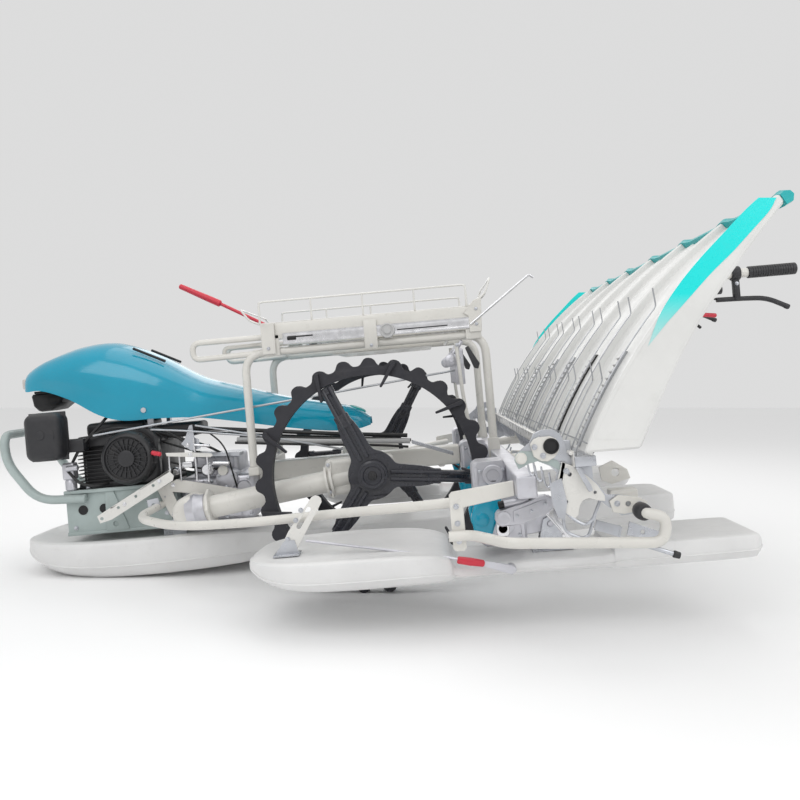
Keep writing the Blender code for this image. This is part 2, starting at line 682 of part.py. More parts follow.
# --- seedling tray ----------------------------------------------------------
def tray_arc():
    """Centre, radius and end angles of the tray's surface, from its chord and sagitta."""
    low, high = Vector(TRAY_BOTTOM), Vector(TRAY_TOP)
    chord = high - low
    radius = chord.length ** 2 / (8 * TRAY_SAGITTA) + TRAY_SAGITTA / 2
    out = Vector((chord.y, -chord.x)).normalized()
    centre = (low + high) / 2 + out * (radius - TRAY_SAGITTA)
    first, last = low - centre, high - centre
    return centre, radius, math.atan2(first.y, first.x), math.atan2(last.y, last.x)


def tray_point(share, lift=0.0):
    centre, radius, first, last = tray_arc()
    if first < 0:
        first += 2 * math.pi
    if last < 0:
        last += 2 * math.pi
    angle = first + (last - first) * share
    reach = radius + lift
    return centre.x + reach * math.cos(angle), centre.y + reach * math.sin(angle)


def make_tray_panel(axis):
    """One pressed sheet with a hat rib between each two channels."""
    section = [(-TRAY_HALF_Y, RIB_HEIGHT)]
    for row in range(ROWS):
        left = -TRAY_HALF_Y + row * ROW_PITCH
        start = left + (RIB_WIDTH / 2 if row else 0.0)
        end = left + ROW_PITCH - (RIB_WIDTH / 2 if row < ROWS - 1 else 0.0)
        section += [(start, RIB_HEIGHT), (start, 0.0), (end, 0.0), (end, RIB_HEIGHT)]
    del section[0]
    steps = 9
    rings = []
    for i in range(steps + 1):
        ring = []
        for y, lift in section:
            x, z = tray_point(i / steps, lift)
            ring.append((x, y, z))
        rings.append(ring)
    bm = bmesh.new()
    skin_rings(bm, rings, closed=False)
    sheet = mesh_object("tray_panel", bm)
    panel = thicken(sheet, TRAY_WALL, offset=0.0)
    back = tray_back_rail()
    finish(combine(panel, [back]), "tray_white", axis)


def tray_back_rail():
    """Stiffening rail across the back of the sheet."""
    share = 0.62
    corners = [tray_point(share - 0.025, -0.001), tray_point(share + 0.025, -0.001),
               tray_point(share + 0.025, -0.030), tray_point(share - 0.025, -0.030)]
    return outline_plate("rail", corners, (-TRAY_HALF_Y + 0.02, TRAY_HALF_Y - 0.02))


def make_tray_fin(name, side, axis):
    steps = 9
    front = [tray_point(i / steps, RIB_HEIGHT + 0.004) for i in range(steps + 1)]
    depths = ((1.0, 0.0), (0.80, -0.028), (0.55, -0.052), (0.30, -0.072), (0.08, -0.082))
    back = [tray_point(share, lift) for share, lift in depths]
    inner = side * (TRAY_HALF_Y + TRAY_WALL + SEAT)
    fin = outline_plate(f"tray_fin_{name}", front + back, (inner, inner + side * FIN_T))
    finish(fin, "tray_white", axis)


def make_tray_trim(axis):
    """Moulded strip along the tray's upper edge."""
    seat = 1.0 + SEAT / 0.66
    corners = [tray_point(seat, RIB_HEIGHT + 0.006), tray_point(seat + 0.030, RIB_HEIGHT + 0.002),
               tray_point(seat + 0.048, 0.012), tray_point(seat + 0.030, -0.012),
               tray_point(seat, -0.010)]
    half = TRAY_HALF_Y + FIN_T
    finish(outline_plate("tray_top_trim", corners, (-half, half)), "trim_teal", axis)


def make_tray():
    axis = axis_empty("tray_slide", (TRAVEL_RAIL_X[0], 0.0, TRAVEL_RAIL_Z[1]))
    make_tray_panel(axis)
    for name, side in SIDES:
        make_tray_fin(name, side, axis)
    make_tray_trim(axis)


def make_tray_carrier():
    """Cross rail the tray slides along, on a pierced end bracket at each side."""
    rail = box("tray_rail", TRAVEL_RAIL_X, (-0.885, 0.885), TRAVEL_RAIL_Z)
    outline = [(0.345, 0.300), (0.400, 0.290), (0.470, 0.262), (0.505, 0.236), (0.535, 0.232),
               (0.562, 0.252), (0.612, 0.258), (0.616, 0.292), (0.560, 0.304), (0.512, 0.380),
               (0.470, 0.385), (0.4625, 0.430),
               (0.450, 0.450), (0.428, 0.458), (0.402, 0.450), (0.382, 0.425), (0.345, 0.380)]
    pipe = ring_points(0.426, 0.424, 0.015, 16)
    slots = [rounded_slot(0.428, 0.330, 0.075, 0.028, math.radians(-38)),
             rounded_slot(0.503, 0.283, 0.060, 0.026, math.radians(-38))]
    brackets = [outline_plate("bracket", outline,
                              (side * (BEAM_HALF_Y + SEAT), side * (BEAM_HALF_Y + SEAT + BRACKET_T)),
                              holes=[pipe, *slots])
                for _, side in SIDES]
    finish(combine(rail, brackets), "zinc_plate")


# --- handles ----------------------------------------------------------------
def make_handles():
    start = BEAM_X[1] + SEAT
    side_path = [(start, 0.335), (0.600, 0.335), (0.790, 0.500), (0.985, 0.770),
                 (1.060, GRIP_Z), (GRIP_X[0] + 0.004, GRIP_Z)]
    bar = None
    extras = []
    for _, side in SIDES:
        run = tube("handlebar", [(x, side * HANDLE_Y, z) for x, z in side_path], HANDLE_R)
        rest_z = TRAVEL_RAIL_Z[0] - SEAT
        post = box("post", (0.478, 0.506), (side * HANDLE_Y - 0.012, side * HANDLE_Y + 0.012),
                   (0.330, rest_z))
        shoe_x, shoe_z = tray_point(0.62, -0.030 - 0.006)
        arm = tube("arm", [(0.895, side * HANDLE_Y, 0.6454), (shoe_x, side * HANDLE_Y, shoe_z)], 0.009)
        if bar is None:
            bar = run
            extras += [post, arm]
        else:
            extras += [run, post, arm]
    cross = rod("cross", (0.945, -HANDLE_Y, 0.715), (0.945, HANDLE_Y, 0.715), 0.012, sides=12)
    console = box("console", (0.925, 0.995), (-0.215, -0.075), (0.665, 0.715), bevel=0.008)
    finish(combine(bar, [*extras, cross, console]), "cream_paint")
    for name, side in SIDES:
        y = side * HANDLE_Y
        grip = rod(f"grip_{name}", (GRIP_X[0] + 0.004 + SEAT, y, GRIP_Z), (GRIP_X[1], y, GRIP_Z),
                   GRIP_R, sides=16)
        finish(grip, "black_plastic")
        ring = rod(f"brake_lever_{name}", (1.077, y, GRIP_Z), (1.103, y, GRIP_Z), 0.021, sides=16)
        sleeve = rod("sleeve", (1.07, y, GRIP_Z), (1.11, y, GRIP_Z), HANDLE_R + SEAT, sides=16)
        ring = combine(ring, [sleeve], "DIFFERENCE")
        drop = box("drop", (1.080, 1.100), (y - 0.010, y + 0.010), (GRIP_Z - 0.080, GRIP_Z - 0.017))
        lever = tube("lever", [(1.030, y, 0.740), (1.105, y, 0.738), (1.175, y, 0.734),
                               (1.240, y, 0.700)], 0.008, corner=0.03)
        finish(combine(ring, [drop, lever]), "black_plastic")


# --- rack -------------------------------------------------------------------
def make_rack():
    front_foot = SPINE_Z[1] + 0.006 + SEAT
    back_foot = BEAM_Z[1] + SEAT
    for name, side in SIDES:
        y = side * RACK_Y
        hoop = tube(f"rack_frame_{name}", [(RACK_X[0], y, front_foot), (RACK_X[0], y, RACK_TOP_Z),
                                           (RACK_X[1], y, RACK_TOP_Z), (RACK_X[1], y, back_foot)],
                    RACK_R, corner=0.07)
        loop = tube("loop", [(-0.300, y, RACK_TOP_Z), (-0.514, y, RACK_TOP_Z - 0.004),
                             (-0.514, y, RACK_TOP_Z + 0.046),
                             (RAIL_X[0] - SEAT, y, RACK_TOP_Z + 0.046)],
                    0.009, corner=0.024)
        finish(combine(hoop, [loop]), "cream_paint")
        outside = side * (RACK_Y + RACK_R + SEAT)
        inside = side * (RACK_Y - 0.036)
        rail = box(f"rack_rail_{name}", RAIL_X, sorted((inside, outside + side * TAB_T)), RAIL_Z)
        tabs = [box("tab", (x - w / 2, x + w / 2), sorted((outside, outside + side * TAB_T)),
                    (0.692, RAIL_Z[0] + 0.012))
                for x, w in ((-0.275, 0.046), (0.020, 0.040), (0.325, 0.046))]
        finish(combine(rail, tabs), "cream_paint")
    tab_face = RACK_Y + RACK_R + SEAT + TAB_T + SEAT
    y = tab_face + 0.006
    shank = rod("rack_release_lever", (-0.270, y, 0.762), (-0.529, y, 0.912), 0.006, sides=12)
    grip = rod("grip", (-0.529, y, 0.912), (-0.669, y, 0.988), 0.012, 0.009, sides=12)
    finish(combine(shank, [grip]), "grip_red")
    y = -tab_face - HOOK_R
    finish(tube("rack_hook_rod", [(0.318, y, 0.735), (0.503, y, 0.867), (0.516, y, 0.857)],
                HOOK_R, corner=0.008, steps=2), "zinc_plate")


def make_basket():
    """Sliding wire basket: a floor grid with a ladder rail along each side."""
    axis = axis_empty("basket_slide", (BASKET_X[0], 0.0, BASKET_Z))
    bays_long, bays_wide = 4, 5
    length = BASKET_X[1] - BASKET_X[0]
    width = 2 * BASKET_HALF_Y
    hole_x = (length - WIRE * (bays_long + 1)) / bays_long
    hole_y = (width - WIRE * (bays_wide + 1)) / bays_wide
    floor = box("basket", BASKET_X, (-BASKET_HALF_Y, BASKET_HALF_Y), (BASKET_Z, BASKET_Z + WIRE))
    cutters = []
    for i in range(bays_long):
        x = BASKET_X[0] + WIRE + i * (hole_x + WIRE)
        for j in range(bays_wide):
            y = -BASKET_HALF_Y + WIRE + j * (hole_y + WIRE)
            cutters.append(box("hole", (x, x + hole_x), (y, y + hole_y),
                               (BASKET_Z - 0.01, BASKET_Z + 0.02)))
    floor = combine(floor, cutters, "DIFFERENCE")
    top = BASKET_Z + BASKET_SIDE
    ladders = []
    for side in (-1, 1):
        holes = []
        for i in range(bays_long):
            x = BASKET_X[0] + WIRE + i * (hole_x + WIRE) - WELD_STEP
            wide = hole_x + 2 * WELD_STEP
            holes.append([(x, BASKET_Z + WIRE / 2), (x + wide, BASKET_Z + WIRE / 2),
                          (x + wide, top - WIRE), (x, top - WIRE)])
        first, last = BASKET_X[0] + WELD_STEP, BASKET_X[1] - WELD_STEP
        edge = [(first, BASKET_Z + WELD_STEP), (last, BASKET_Z + WELD_STEP), (last, top), (first, top)]
        inner = side * (BASKET_HALF_Y - WIRE + WELD_STEP)
        ladders.append(outline_plate("ladder", edge, (inner, side * (BASKET_HALF_Y - WELD_STEP)),
                                     holes=holes))
    finish(combine(floor, ladders), "wire_white", axis)


# --- guards -----------------------------------------------------------------
def make_guard(name, side):
    """Bumper tube along the side, clamped at the rear to the loop round the outer row."""
    start = FRAME_HALF_Y + SEAT
    inner = CLAMP_Y - 0.003 - GUARD_R
    outer = CLAMP_Y + 0.003 + GUARD_R
    front = [(-0.665, start, 0.272), (-0.665, 0.370, 0.270), (-0.500, 0.545, 0.266),
             (-0.297, 0.600, 0.269), (-0.060, 0.640, 0.280), (0.110, inner - 0.045, 0.296),
             (0.245, inner, 0.307)]
    rear = [(0.190, outer, 0.236), (0.240, outer, 0.236), (0.310, 0.930, 0.236),
            (0.630, 0.930, 0.210), (0.640, 0.930, 0.262), (0.596, 0.930, 0.274),
            (0.596, BEAM_HALF_Y + SEAT + BRACKET_T + SEAT, 0.274)]
    bar = tube(f"side_guard_{name}", [(x, side * y, z) for x, y, z in front], GUARD_R, corner=0.09)
    loop = tube("loop", [(x, side * y, z) for x, y, z in rear], GUARD_R, corner=0.028)
    clamp = outline_plate("clamp", [(0.198, 0.200), (0.228, 0.200), (0.228, 0.296),
                                    (BEAM_X[0] - SEAT, 0.312), (BEAM_X[0] - SEAT, 0.346),
                                    (0.198, 0.330)],
                          (side * (CLAMP_Y - 0.005), side * (CLAMP_Y + 0.005)))
    finish(combine(bar, [loop, clamp]), "cream_paint")


def main():
    make_engine_frame()
    make_bumper()
    make_engine()
    make_hood()
    make_hood_stay()
    make_gearbox()
    make_spine()
    make_planting_units()
    for name, side in SIDES:
        make_wheel(name, side)
        make_leg(name, side)
        make_guard(name, side)
        axis = make_float(name, side * SIDE_FLOAT_Y, SIDE_FLOAT)
        make_float_link(name, side, axis)
    make_float("center", 0.0, CENTRE_FLOAT)
    make_tray()
    make_tray_carrier()
    make_handles()
    make_rack()
    make_basket()
    bpy.context.view_layer.update()


main()
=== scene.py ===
# Looks for the six-row rice transplanter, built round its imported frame.
import json
import math

import bpy
from mathutils import Matrix, Vector


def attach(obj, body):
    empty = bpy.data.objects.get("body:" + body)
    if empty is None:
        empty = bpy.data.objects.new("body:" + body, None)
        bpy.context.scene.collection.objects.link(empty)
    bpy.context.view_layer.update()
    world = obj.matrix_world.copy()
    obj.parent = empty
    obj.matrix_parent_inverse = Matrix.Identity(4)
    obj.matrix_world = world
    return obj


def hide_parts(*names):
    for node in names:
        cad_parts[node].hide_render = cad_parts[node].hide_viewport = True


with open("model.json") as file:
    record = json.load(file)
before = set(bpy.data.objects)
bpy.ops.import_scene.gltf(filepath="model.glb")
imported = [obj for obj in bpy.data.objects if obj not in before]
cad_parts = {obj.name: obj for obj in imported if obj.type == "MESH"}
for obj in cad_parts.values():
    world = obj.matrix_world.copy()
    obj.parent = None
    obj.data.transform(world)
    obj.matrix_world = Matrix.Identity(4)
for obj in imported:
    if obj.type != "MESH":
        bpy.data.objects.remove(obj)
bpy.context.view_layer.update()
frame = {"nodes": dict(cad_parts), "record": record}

# The machine stands nose down about its wheel hubs, so pieces are drawn level and then tilted.
stance = {"pitch": math.radians(5.0), "hubX": -0.0333, "hubZ": 0.33}
hubSpot = Vector((stance["hubX"], 0.0, stance["hubZ"]))
tilt = (Matrix.Translation(hubSpot) @ Matrix.Rotation(-stance["pitch"], 4, "Y")
        @ Matrix.Translation((0.0, 0.0, -stance["hubZ"])))
sides = (("left", -1), ("right", 1))


# --- camera, floor and light
def setUpStudio():
    view = {"back": 2.54, "height": 0.611, "ahead": 0.138, "lens": 35.1, "sensor": 36.0,
            "shift": (-0.0275, -0.03125)}
    room = {"floor": 24.0, "floorTone": 0.94, "floorRough": 0.9, "sky": 0.72}
    bpy.ops.object.camera_add(location=(stance["hubX"] + view["ahead"], -view["back"],
                                        view["height"]),
                              rotation=(math.radians(90), 0, 0))
    camera = bpy.context.object
    camera.data.lens = view["lens"]
    camera.data.sensor_width = view["sensor"]
    camera.data.shift_x, camera.data.shift_y = view["shift"]
    bpy.context.scene.camera = camera

    bpy.ops.mesh.primitive_plane_add(size=room["floor"], location=(0, 0, 0))
    floor = bpy.context.object
    floor.name = "studioFloor"
    pale = Finish("studioPale", (room["floorTone"],) * 3, room["floorRough"])
    floor.data.materials.append(pale.material)

    lamps = [("key", (-1.6, -3.2, 3.2), (0.0, 0.0, 0.35), 2.6, 38),
             ("fill", (2.4, -2.6, 2.4), (0.2, 0.0, 0.35), 2.4, 26),
             ("top", (0.0, 0.3, 3.4), (0.0, 0.0, 0.3), 3.4, 30),
             ("back", (-0.4, 3.2, 2.2), (0.0, 0.0, 0.4), 2.6, 22)]
    for name, spot, aim, size, power in lamps:
        bpy.ops.object.light_add(type="AREA", location=spot)
        lamp = bpy.context.object
        lamp.name = name + "Softbox"
        lamp.rotation_euler = (Vector(aim) - Vector(spot)).to_track_quat("-Z", "Y").to_euler()
        lamp.data.size = size
        lamp.data.energy = power
    world = bpy.data.worlds.new("paleRoom")
    bpy.context.scene.world = world
    world.use_nodes = True
    sky = world.node_tree.nodes["Background"]
    sky.inputs["Color"].default_value = (1.0, 1.0, 1.0, 1.0)
    sky.inputs["Strength"].default_value = room["sky"]
    bpy.context.scene.view_settings.view_transform = "Standard"
    print("studio is set")


# --- finishes
class Wire:
    # one shader socket, so that masks can be written as sums
    def __init__(self, finish, socket):
        self.finish, self.socket = finish, socket

    def blend(self, operation, first, second):
        return self.finish.node("ShaderNodeMath", {"operation": operation}, {0: first, 1: second})

    def __add__(self, other):
        return self.blend("ADD", self, other)

    def __radd__(self, other):
        return self.blend("ADD", other, self)

    def __sub__(self, other):
        return self.blend("SUBTRACT", self, other)

    def __rsub__(self, other):
        return self.blend("SUBTRACT", other, self)

    def __mul__(self, other):
        return self.blend("MULTIPLY", self, other)

    def __rmul__(self, other):
        return self.blend("MULTIPLY", other, self)

    def __gt__(self, other):
        return self.blend("GREATER_THAN", self, other)


class Finish:
    def __init__(self, name, colour, roughness, metallic=0.0, **fixed):
        self.material = bpy.data.materials.new(name)
        self.material.use_nodes = True
        self.tree = self.material.node_tree
        self.shader = self.tree.nodes["Principled BSDF"]
        self.set("Base Color", (*colour, 1.0))
        self.set("Roughness", roughness)
        self.set("Metallic", metallic)
        for socket, value in fixed.items():
            self.set(socket.replace("_", " "), value)

    def plug(self, socket, value):
        if isinstance(value, Wire):
            self.tree.links.new(value.socket, socket)
        elif isinstance(value, tuple) and len(value) == 3 and socket.type == "RGBA":
            socket.default_value = (*value, 1.0)
        else:
            socket.default_value = value

    def set(self, socket, value):
        self.plug(self.shader.inputs[socket], value)

    def node(self, kind, settings=None, sockets=None, out=0):
        made = self.tree.nodes.new(kind)
        for key, value in (settings or {}).items():
            if key == "stops":
                ramp = made.color_ramp
                ramp.elements[0].position, ramp.elements[0].color = value[0][0], (*value[0][1], 1)
                ramp.elements[1].position, ramp.elements[1].color = value[-1][0], (*value[-1][1], 1)
                for place, colour in value[1:-1]:
                    ramp.elements.new(place).color = (*colour, 1)
            else:
                setattr(made, key, value)
        for key, value in (sockets or {}).items():
            self.plug(made.inputs[key], value)
        return Wire(self, made.outputs[out])

    def here(self):
        return self.node("ShaderNodeTexCoord", out=3)

    def noise(self, scale, detail=3.0, stretch=(1, 1, 1), rough=0.55):
        spot = self.here()
        if stretch != (1, 1, 1):
            spot = self.node("ShaderNodeMapping", {}, {"Vector": spot, "Scale": stretch})
        return self.node("ShaderNodeTexNoise", {}, {"Vector": spot, "Scale": scale,
                                                    "Detail": detail,
                                                    "Roughness": rough})

    def band(self, value, low, high, lowTo=0.0, highTo=1.0):
        return self.node("ShaderNodeMapRange", {"clamp": True},
                         {"Value": value, "From Min": low, "From Max": high,
                          "To Min": lowTo, "To Max": highTo})

    def mix(self, share, first, second):
        made = self.tree.nodes.new("ShaderNodeMix")
        made.data_type = "RGBA"
        self.plug(made.inputs[0], share)
        self.plug(made.inputs[6], first)
        self.plug(made.inputs[7], second)
        return Wire(self, made.outputs[2])

    def bump(self, height, strength, distance):
        self.set("Normal", self.node("ShaderNodeBump", {}, {"Height": height, "Strength": strength,
                                                            "Distance": distance}))

    def facingUp(self):
        normal = self.node("ShaderNodeNewGeometry", out=1)
        return self.node("ShaderNodeSeparateXYZ", {}, {"Vector": normal}, out=2)


def shaded(colour, factor):
    return tuple(min(channel * factor, 1.0) for channel in colour)


def makeFinish(name, recipe):
    # one coat: cloudy tone, fine grain, a little settled dust and scuffed roughness
    colour = recipe["colour"]
    finish = Finish(name, colour, recipe["rough"], recipe.get("metal", 0.0), **recipe.get("fixed",
                                                                                          {}))
    cloud = finish.noise(recipe.get("cloud", 7.0), 4.0)
    tone = finish.mix(finish.band(cloud, 0.35, 0.68),
                      shaded(colour, 1.0 - recipe.get("vary", 0.08)),
                      shaded(colour, 1.0 + recipe.get("vary", 0.08)))
    grime = finish.band(finish.noise(recipe.get("grime", 26.0), 6.0, rough=0.7), 0.56, 0.8,
                        0.0, recipe.get("dirt", 0.18))
    tone = finish.mix(grime, tone, recipe.get("soil", (0.22, 0.19, 0.15)))
    dust = finish.band(finish.facingUp(), 0.55, 1.0, 0.0, recipe.get("dust", 0.1))
    tone = finish.mix(dust * finish.band(cloud, 0.3, 0.7, 0.4, 1.0), tone, (0.62, 0.58, 0.52))
    scratch = finish.noise(recipe.get("scratch", 90.0), 2.0, recipe.get("stretch", (1, 1, 6)))
    tone = finish.mix(finish.band(scratch, 0.7, 0.76, 0.0, recipe.get("wear", 0.1)), tone,
                      recipe.get("bare", shaded(colour, 0.55)))
    finish.set("Base Color", tone)
    spread = recipe.get("spread", 0.1)
    finish.set("Roughness", finish.band(finish.noise(recipe.get("haze", 34.0), 3.0), 0.3, 0.7,
                                        max(recipe["rough"] - spread, 0.03),
                                        recipe["rough"] + spread))
    finish.bump(finish.noise(recipe.get("grain", 420.0), 3.0), recipe.get("bump", 0.12),
                recipe.get("depth", 0.0006))
    return finish.material


recipes = {
    "cream_paint": dict(colour=(0.665, 0.65, 0.61), rough=0.34, grain=260.0, bump=0.08, dirt=0.12,
                        vary=0.05, dust=0.1, fixed={"Coat_Weight": 0.25, "Coat_Roughness": 0.2}),
    "hood_teal": dict(colour=(0.001, 0.29, 0.43), rough=0.17, spread=0.05, grain=150.0, bump=0.02,
                      dirt=0.03, vary=0.05, dust=0.03, wear=0.02,
                      fixed={"Coat_Weight": 0.35, "Coat_Roughness": 0.06}),
    "frame_grey_green": dict(colour=(0.375, 0.44, 0.43), rough=0.42, dirt=0.3, vary=0.09, dust=0.12,
                             bump=0.12, wear=0.18, bare=(0.2, 0.19, 0.18)),
    "cast_aluminium": dict(colour=(0.6, 0.6, 0.64), rough=0.42, metal=0.75, grain=700.0, bump=0.35,
                           dirt=0.3, vary=0.12, wear=0.1, spread=0.12),
    "zinc_plate": dict(colour=(0.52, 0.535, 0.57), rough=0.32, metal=0.85, cloud=24.0, vary=0.08,
                       dirt=0.16, soil=(0.3, 0.29, 0.28), grain=300.0, bump=0.08, wear=0.06,
                       bare=(0.42, 0.42, 0.43)),
    "engine_black": dict(colour=(0.02, 0.02, 0.022), rough=0.4, grain=600.0, bump=0.3, dirt=0.35,
                         soil=(0.06, 0.05, 0.045), dust=0.1, wear=0.1, bare=(0.1, 0.1, 0.1)),
    "black_plastic": dict(colour=(0.022, 0.022, 0.025), rough=0.48, grain=900.0, bump=0.3,
                          dirt=0.25,
                          soil=(0.08, 0.07, 0.06), dust=0.08, wear=0.06, bare=(0.1, 0.1, 0.1)),
    "wheel_black": dict(colour=(0.018, 0.019, 0.028), rough=0.3, grain=300.0, bump=0.15, dirt=0.25,
                        soil=(0.07, 0.06, 0.05), dust=0.06, fixed={"Coat_Weight": 0.3}),
    "wheel_rubber": dict(colour=(0.021, 0.021, 0.027), rough=0.62, grain=520.0, bump=0.4, dirt=0.35,
                         soil=(0.075, 0.065, 0.055), dust=0.1, wear=0.04),
    "float_white": dict(colour=(0.72, 0.718, 0.715), rough=0.42, grain=520.0, bump=0.16, dirt=0.1,
                        vary=0.04, dust=0.08, wear=0.1, bare=(0.5, 0.49, 0.47)),
    "tray_white": dict(colour=(0.69, 0.69, 0.675), rough=0.38, grain=500.0, bump=0.12, dirt=0.08,
                       vary=0.04, dust=0.05, wear=0.06, bare=(0.52, 0.52, 0.5)),
    "trim_teal": dict(colour=(0.0, 0.375, 0.385), rough=0.34, grain=500.0, bump=0.14, dirt=0.08,
                      vary=0.06, dust=0.05, wear=0.06),
    "grip_red": dict(colour=(0.6, 0.03, 0.055), rough=0.36, grain=500.0, bump=0.15, dirt=0.1,
                     vary=0.06, wear=0.06, dust=0.05),
    "wire_white": dict(colour=(0.7, 0.69, 0.66), rough=0.3, grain=300.0, bump=0.06, dirt=0.08,
                       vary=0.04, dust=0.05, fixed={"Coat_Weight": 0.35}),
}
extraRecipes = {
    "lampGlass": dict(colour=(0.55, 0.5, 0.47), rough=0.12, grain=90.0, bump=0.05, dirt=0.05,
                      fixed={"Coat_Weight": 0.8}),
    # near-black coat: real black parts, and also the painted shade inside slots and holes
    "deepBlack": dict(colour=(0.006, 0.006, 0.007), rough=0.55, dirt=0.08, dust=0.02,
                      soil=(0.03, 0.03, 0.03)),
    "hoseRubber": dict(colour=(0.012, 0.012, 0.013), rough=0.45, grain=800.0, bump=0.2, dirt=0.15,
                       soil=(0.05, 0.05, 0.05)),
    "brightSteel": dict(colour=(0.72, 0.72, 0.74), rough=0.22, metal=1.0, vary=0.1, dirt=0.15,
                        cloud=40.0, grain=200.0, bump=0.05),
    "wireGrey": dict(colour=(0.4, 0.41, 0.43), rough=0.35, metal=0.6, vary=0.1, dirt=0.15),
    "greyPlastic": dict(colour=(0.5, 0.5, 0.5), rough=0.5, dirt=0.15, grain=500.0, bump=0.15),
}
finishes = {}


def makeAllFinishes():
    for name, recipe in {**recipes, **extraRecipes}.items():
        finishes[name] = makeFinish(name, recipe)
    for part in frame["record"]["subparts"]:
        cadNode = frame["nodes"][part["node"]]
        cadNode.data.materials.clear()
        cadNode.data.materials.append(finishes[part["material_slot"]])
    print("finishes are mixed:", len(finishes))


# --- modelling
def letGo():
    if bpy.context.object and bpy.context.object.mode != "OBJECT":
        bpy.ops.object.mode_set(mode="OBJECT")
    bpy.ops.object.select_all(action="DESELECT")


def pick(*objects):
    letGo()
    for piece in objects:
        piece.select_set(True)
    bpy.context.view_layer.objects.active = objects[0]


def squareUp(piece):
    # moves the place and turn of an object into its mesh
    pick(piece)
    bpy.ops.object.transform_apply(location=True, rotation=True, scale=True)
    return piece


def weld(*pieces):
    pick(*pieces)
    if len(pieces) > 1:
        bpy.ops.object.join()
    return bpy.context.object


def along(start, end):
    start, end = Vector(start), Vector(end)
    turn = (end - start).to_track_quat("Z", "Y").to_matrix().to_4x4()
    return Matrix.Translation(start) @ turn


def turned(start, end, stations, count=20):
    # a lathe-turned piece: stations are (distance along, radius)
    letGo()
    bpy.ops.mesh.primitive_circle_add(vertices=count, radius=stations[0][1], fill_type="NGON",
                                      location=(0, 0, stations[0][0]))
    piece = bpy.context.object
    bpy.ops.object.mode_set(mode="EDIT")
    bpy.ops.mesh.select_all(action="SELECT")
    reach, radius = stations[0]
    for nextReach, nextRadius in stations[1:]:
        bpy.ops.mesh.extrude_region_move(
            TRANSFORM_OT_translate={"value": (0, 0, nextReach - reach)})
        share = nextRadius / radius
        bpy.ops.transform.resize(value=(share, share, 1.0))
        reach, radius = nextReach, nextRadius
    bpy.ops.mesh.select_all(action="SELECT")
    bpy.ops.mesh.normals_make_consistent(inside=False)
    bpy.ops.object.mode_set(mode="OBJECT")
    piece.matrix_world = along(start, end) @ piece.matrix_world
    return squareUp(piece)


def bar(start, end, radius, count=14, soft=0.0012):
    # a round bar with eased ends
    length = (Vector(end) - Vector(start)).length
    soft = min(soft, radius * 0.4, length * 0.3)
    return turned(start, end, [(0.0, radius - soft), (soft, radius), (length - soft, radius),
                               (length, radius - soft)], count)


def roundedPath(points, bend, steps=5):
    points = [Vector(point) for point in points]
    path = [points[0]]
    for before, corner, after in zip(points, points[1:], points[2:]):
        toBefore, toAfter = before - corner, after - corner
        reach = min(bend, toBefore.length * 0.48, toAfter.length * 0.48)
        first = corner + toBefore.normalized() * reach
        last = corner + toAfter.normalized() * reach
        for step in range(steps + 1):
            share = step / steps
            path.append(first * (1 - share) ** 2 + corner * 2 * share * (1 - share)
                        + last * share ** 2)
    path.append(points[-1])
    return path


def pipe(points, radius, bend=0.03, around=3, steps=5):
    # a bent tube or wire, drawn as a curve and made a mesh
    curve = bpy.data.curves.new("run", "CURVE")
    curve.dimensions = "3D"
    curve.bevel_depth = radius
    curve.bevel_resolution = around
    curve.use_fill_caps = True
    path = roundedPath(points, bend, steps) if bend else [Vector(point) for point in points]
    run = curve.splines.new("POLY")
    run.points.add(len(path) - 1)
    for spot, point in zip(run.points, path):
        spot.co = (*point, 1.0)
    piece = bpy.data.objects.new("run", curve)
    bpy.context.collection.objects.link(piece)
    pick(piece)
    bpy.ops.object.convert(target="MESH")
    piece = bpy.context.object
    bpy.ops.object.mode_set(mode="EDIT")
    bpy.ops.mesh.select_all(action="SELECT")
    bpy.ops.mesh.remove_doubles(threshold=0.00002)
    bpy.ops.mesh.normals_make_consistent(inside=False)
    bpy.ops.object.mode_set(mode="OBJECT")
    return piece


def cutSheet(outline, across, holes=(), soft=0.0, place=None):
    # a plate cut from a flat outline in x and z, between two distances in y
    curve = bpy.data.curves.new("sheet", "CURVE")
    curve.dimensions = "2D"
    curve.fill_mode = "BOTH"
    low, high = sorted(across)
    curve.extrude = (high - low) / 2
    for ring in (outline, *holes):
        run = curve.splines.new("POLY")
        run.points.add(len(ring) - 1)
        for spot, (x, z) in zip(run.points, ring):
            spot.co = (x, z, 0.0, 1.0)
        run.use_cyclic_u = True
    piece = bpy.data.objects.new("sheet", curve)
    bpy.context.collection.objects.link(piece)
    pick(piece)
    bpy.ops.object.convert(target="MESH")
    piece = bpy.context.object
    stand = Matrix.Translation((0, (low + high) / 2, 0)) @ Matrix.Rotation(math.radians(90), 4, "X")
    piece.matrix_world = (place or Matrix()) @ stand
    squareUp(piece)
    bpy.ops.object.mode_set(mode="EDIT")
    bpy.ops.mesh.select_all(action="SELECT")
    bpy.ops.mesh.remove_doubles(threshold=0.00001)
    bpy.ops.mesh.normals_make_consistent(inside=False)
    bpy.ops.object.mode_set(mode="OBJECT")
    if soft:
        ease(piece, soft, 1, 50)
    return piece


def ease(piece, width, segments=2, angle=35):
    pick(piece)
    edge = piece.modifiers.new("ease", "BEVEL")
    edge.width, edge.segments, edge.limit_method = width, segments, "ANGLE"
    edge.angle_limit = math.radians(angle)
    bpy.ops.object.modifier_apply(modifier="ease")
    return piece


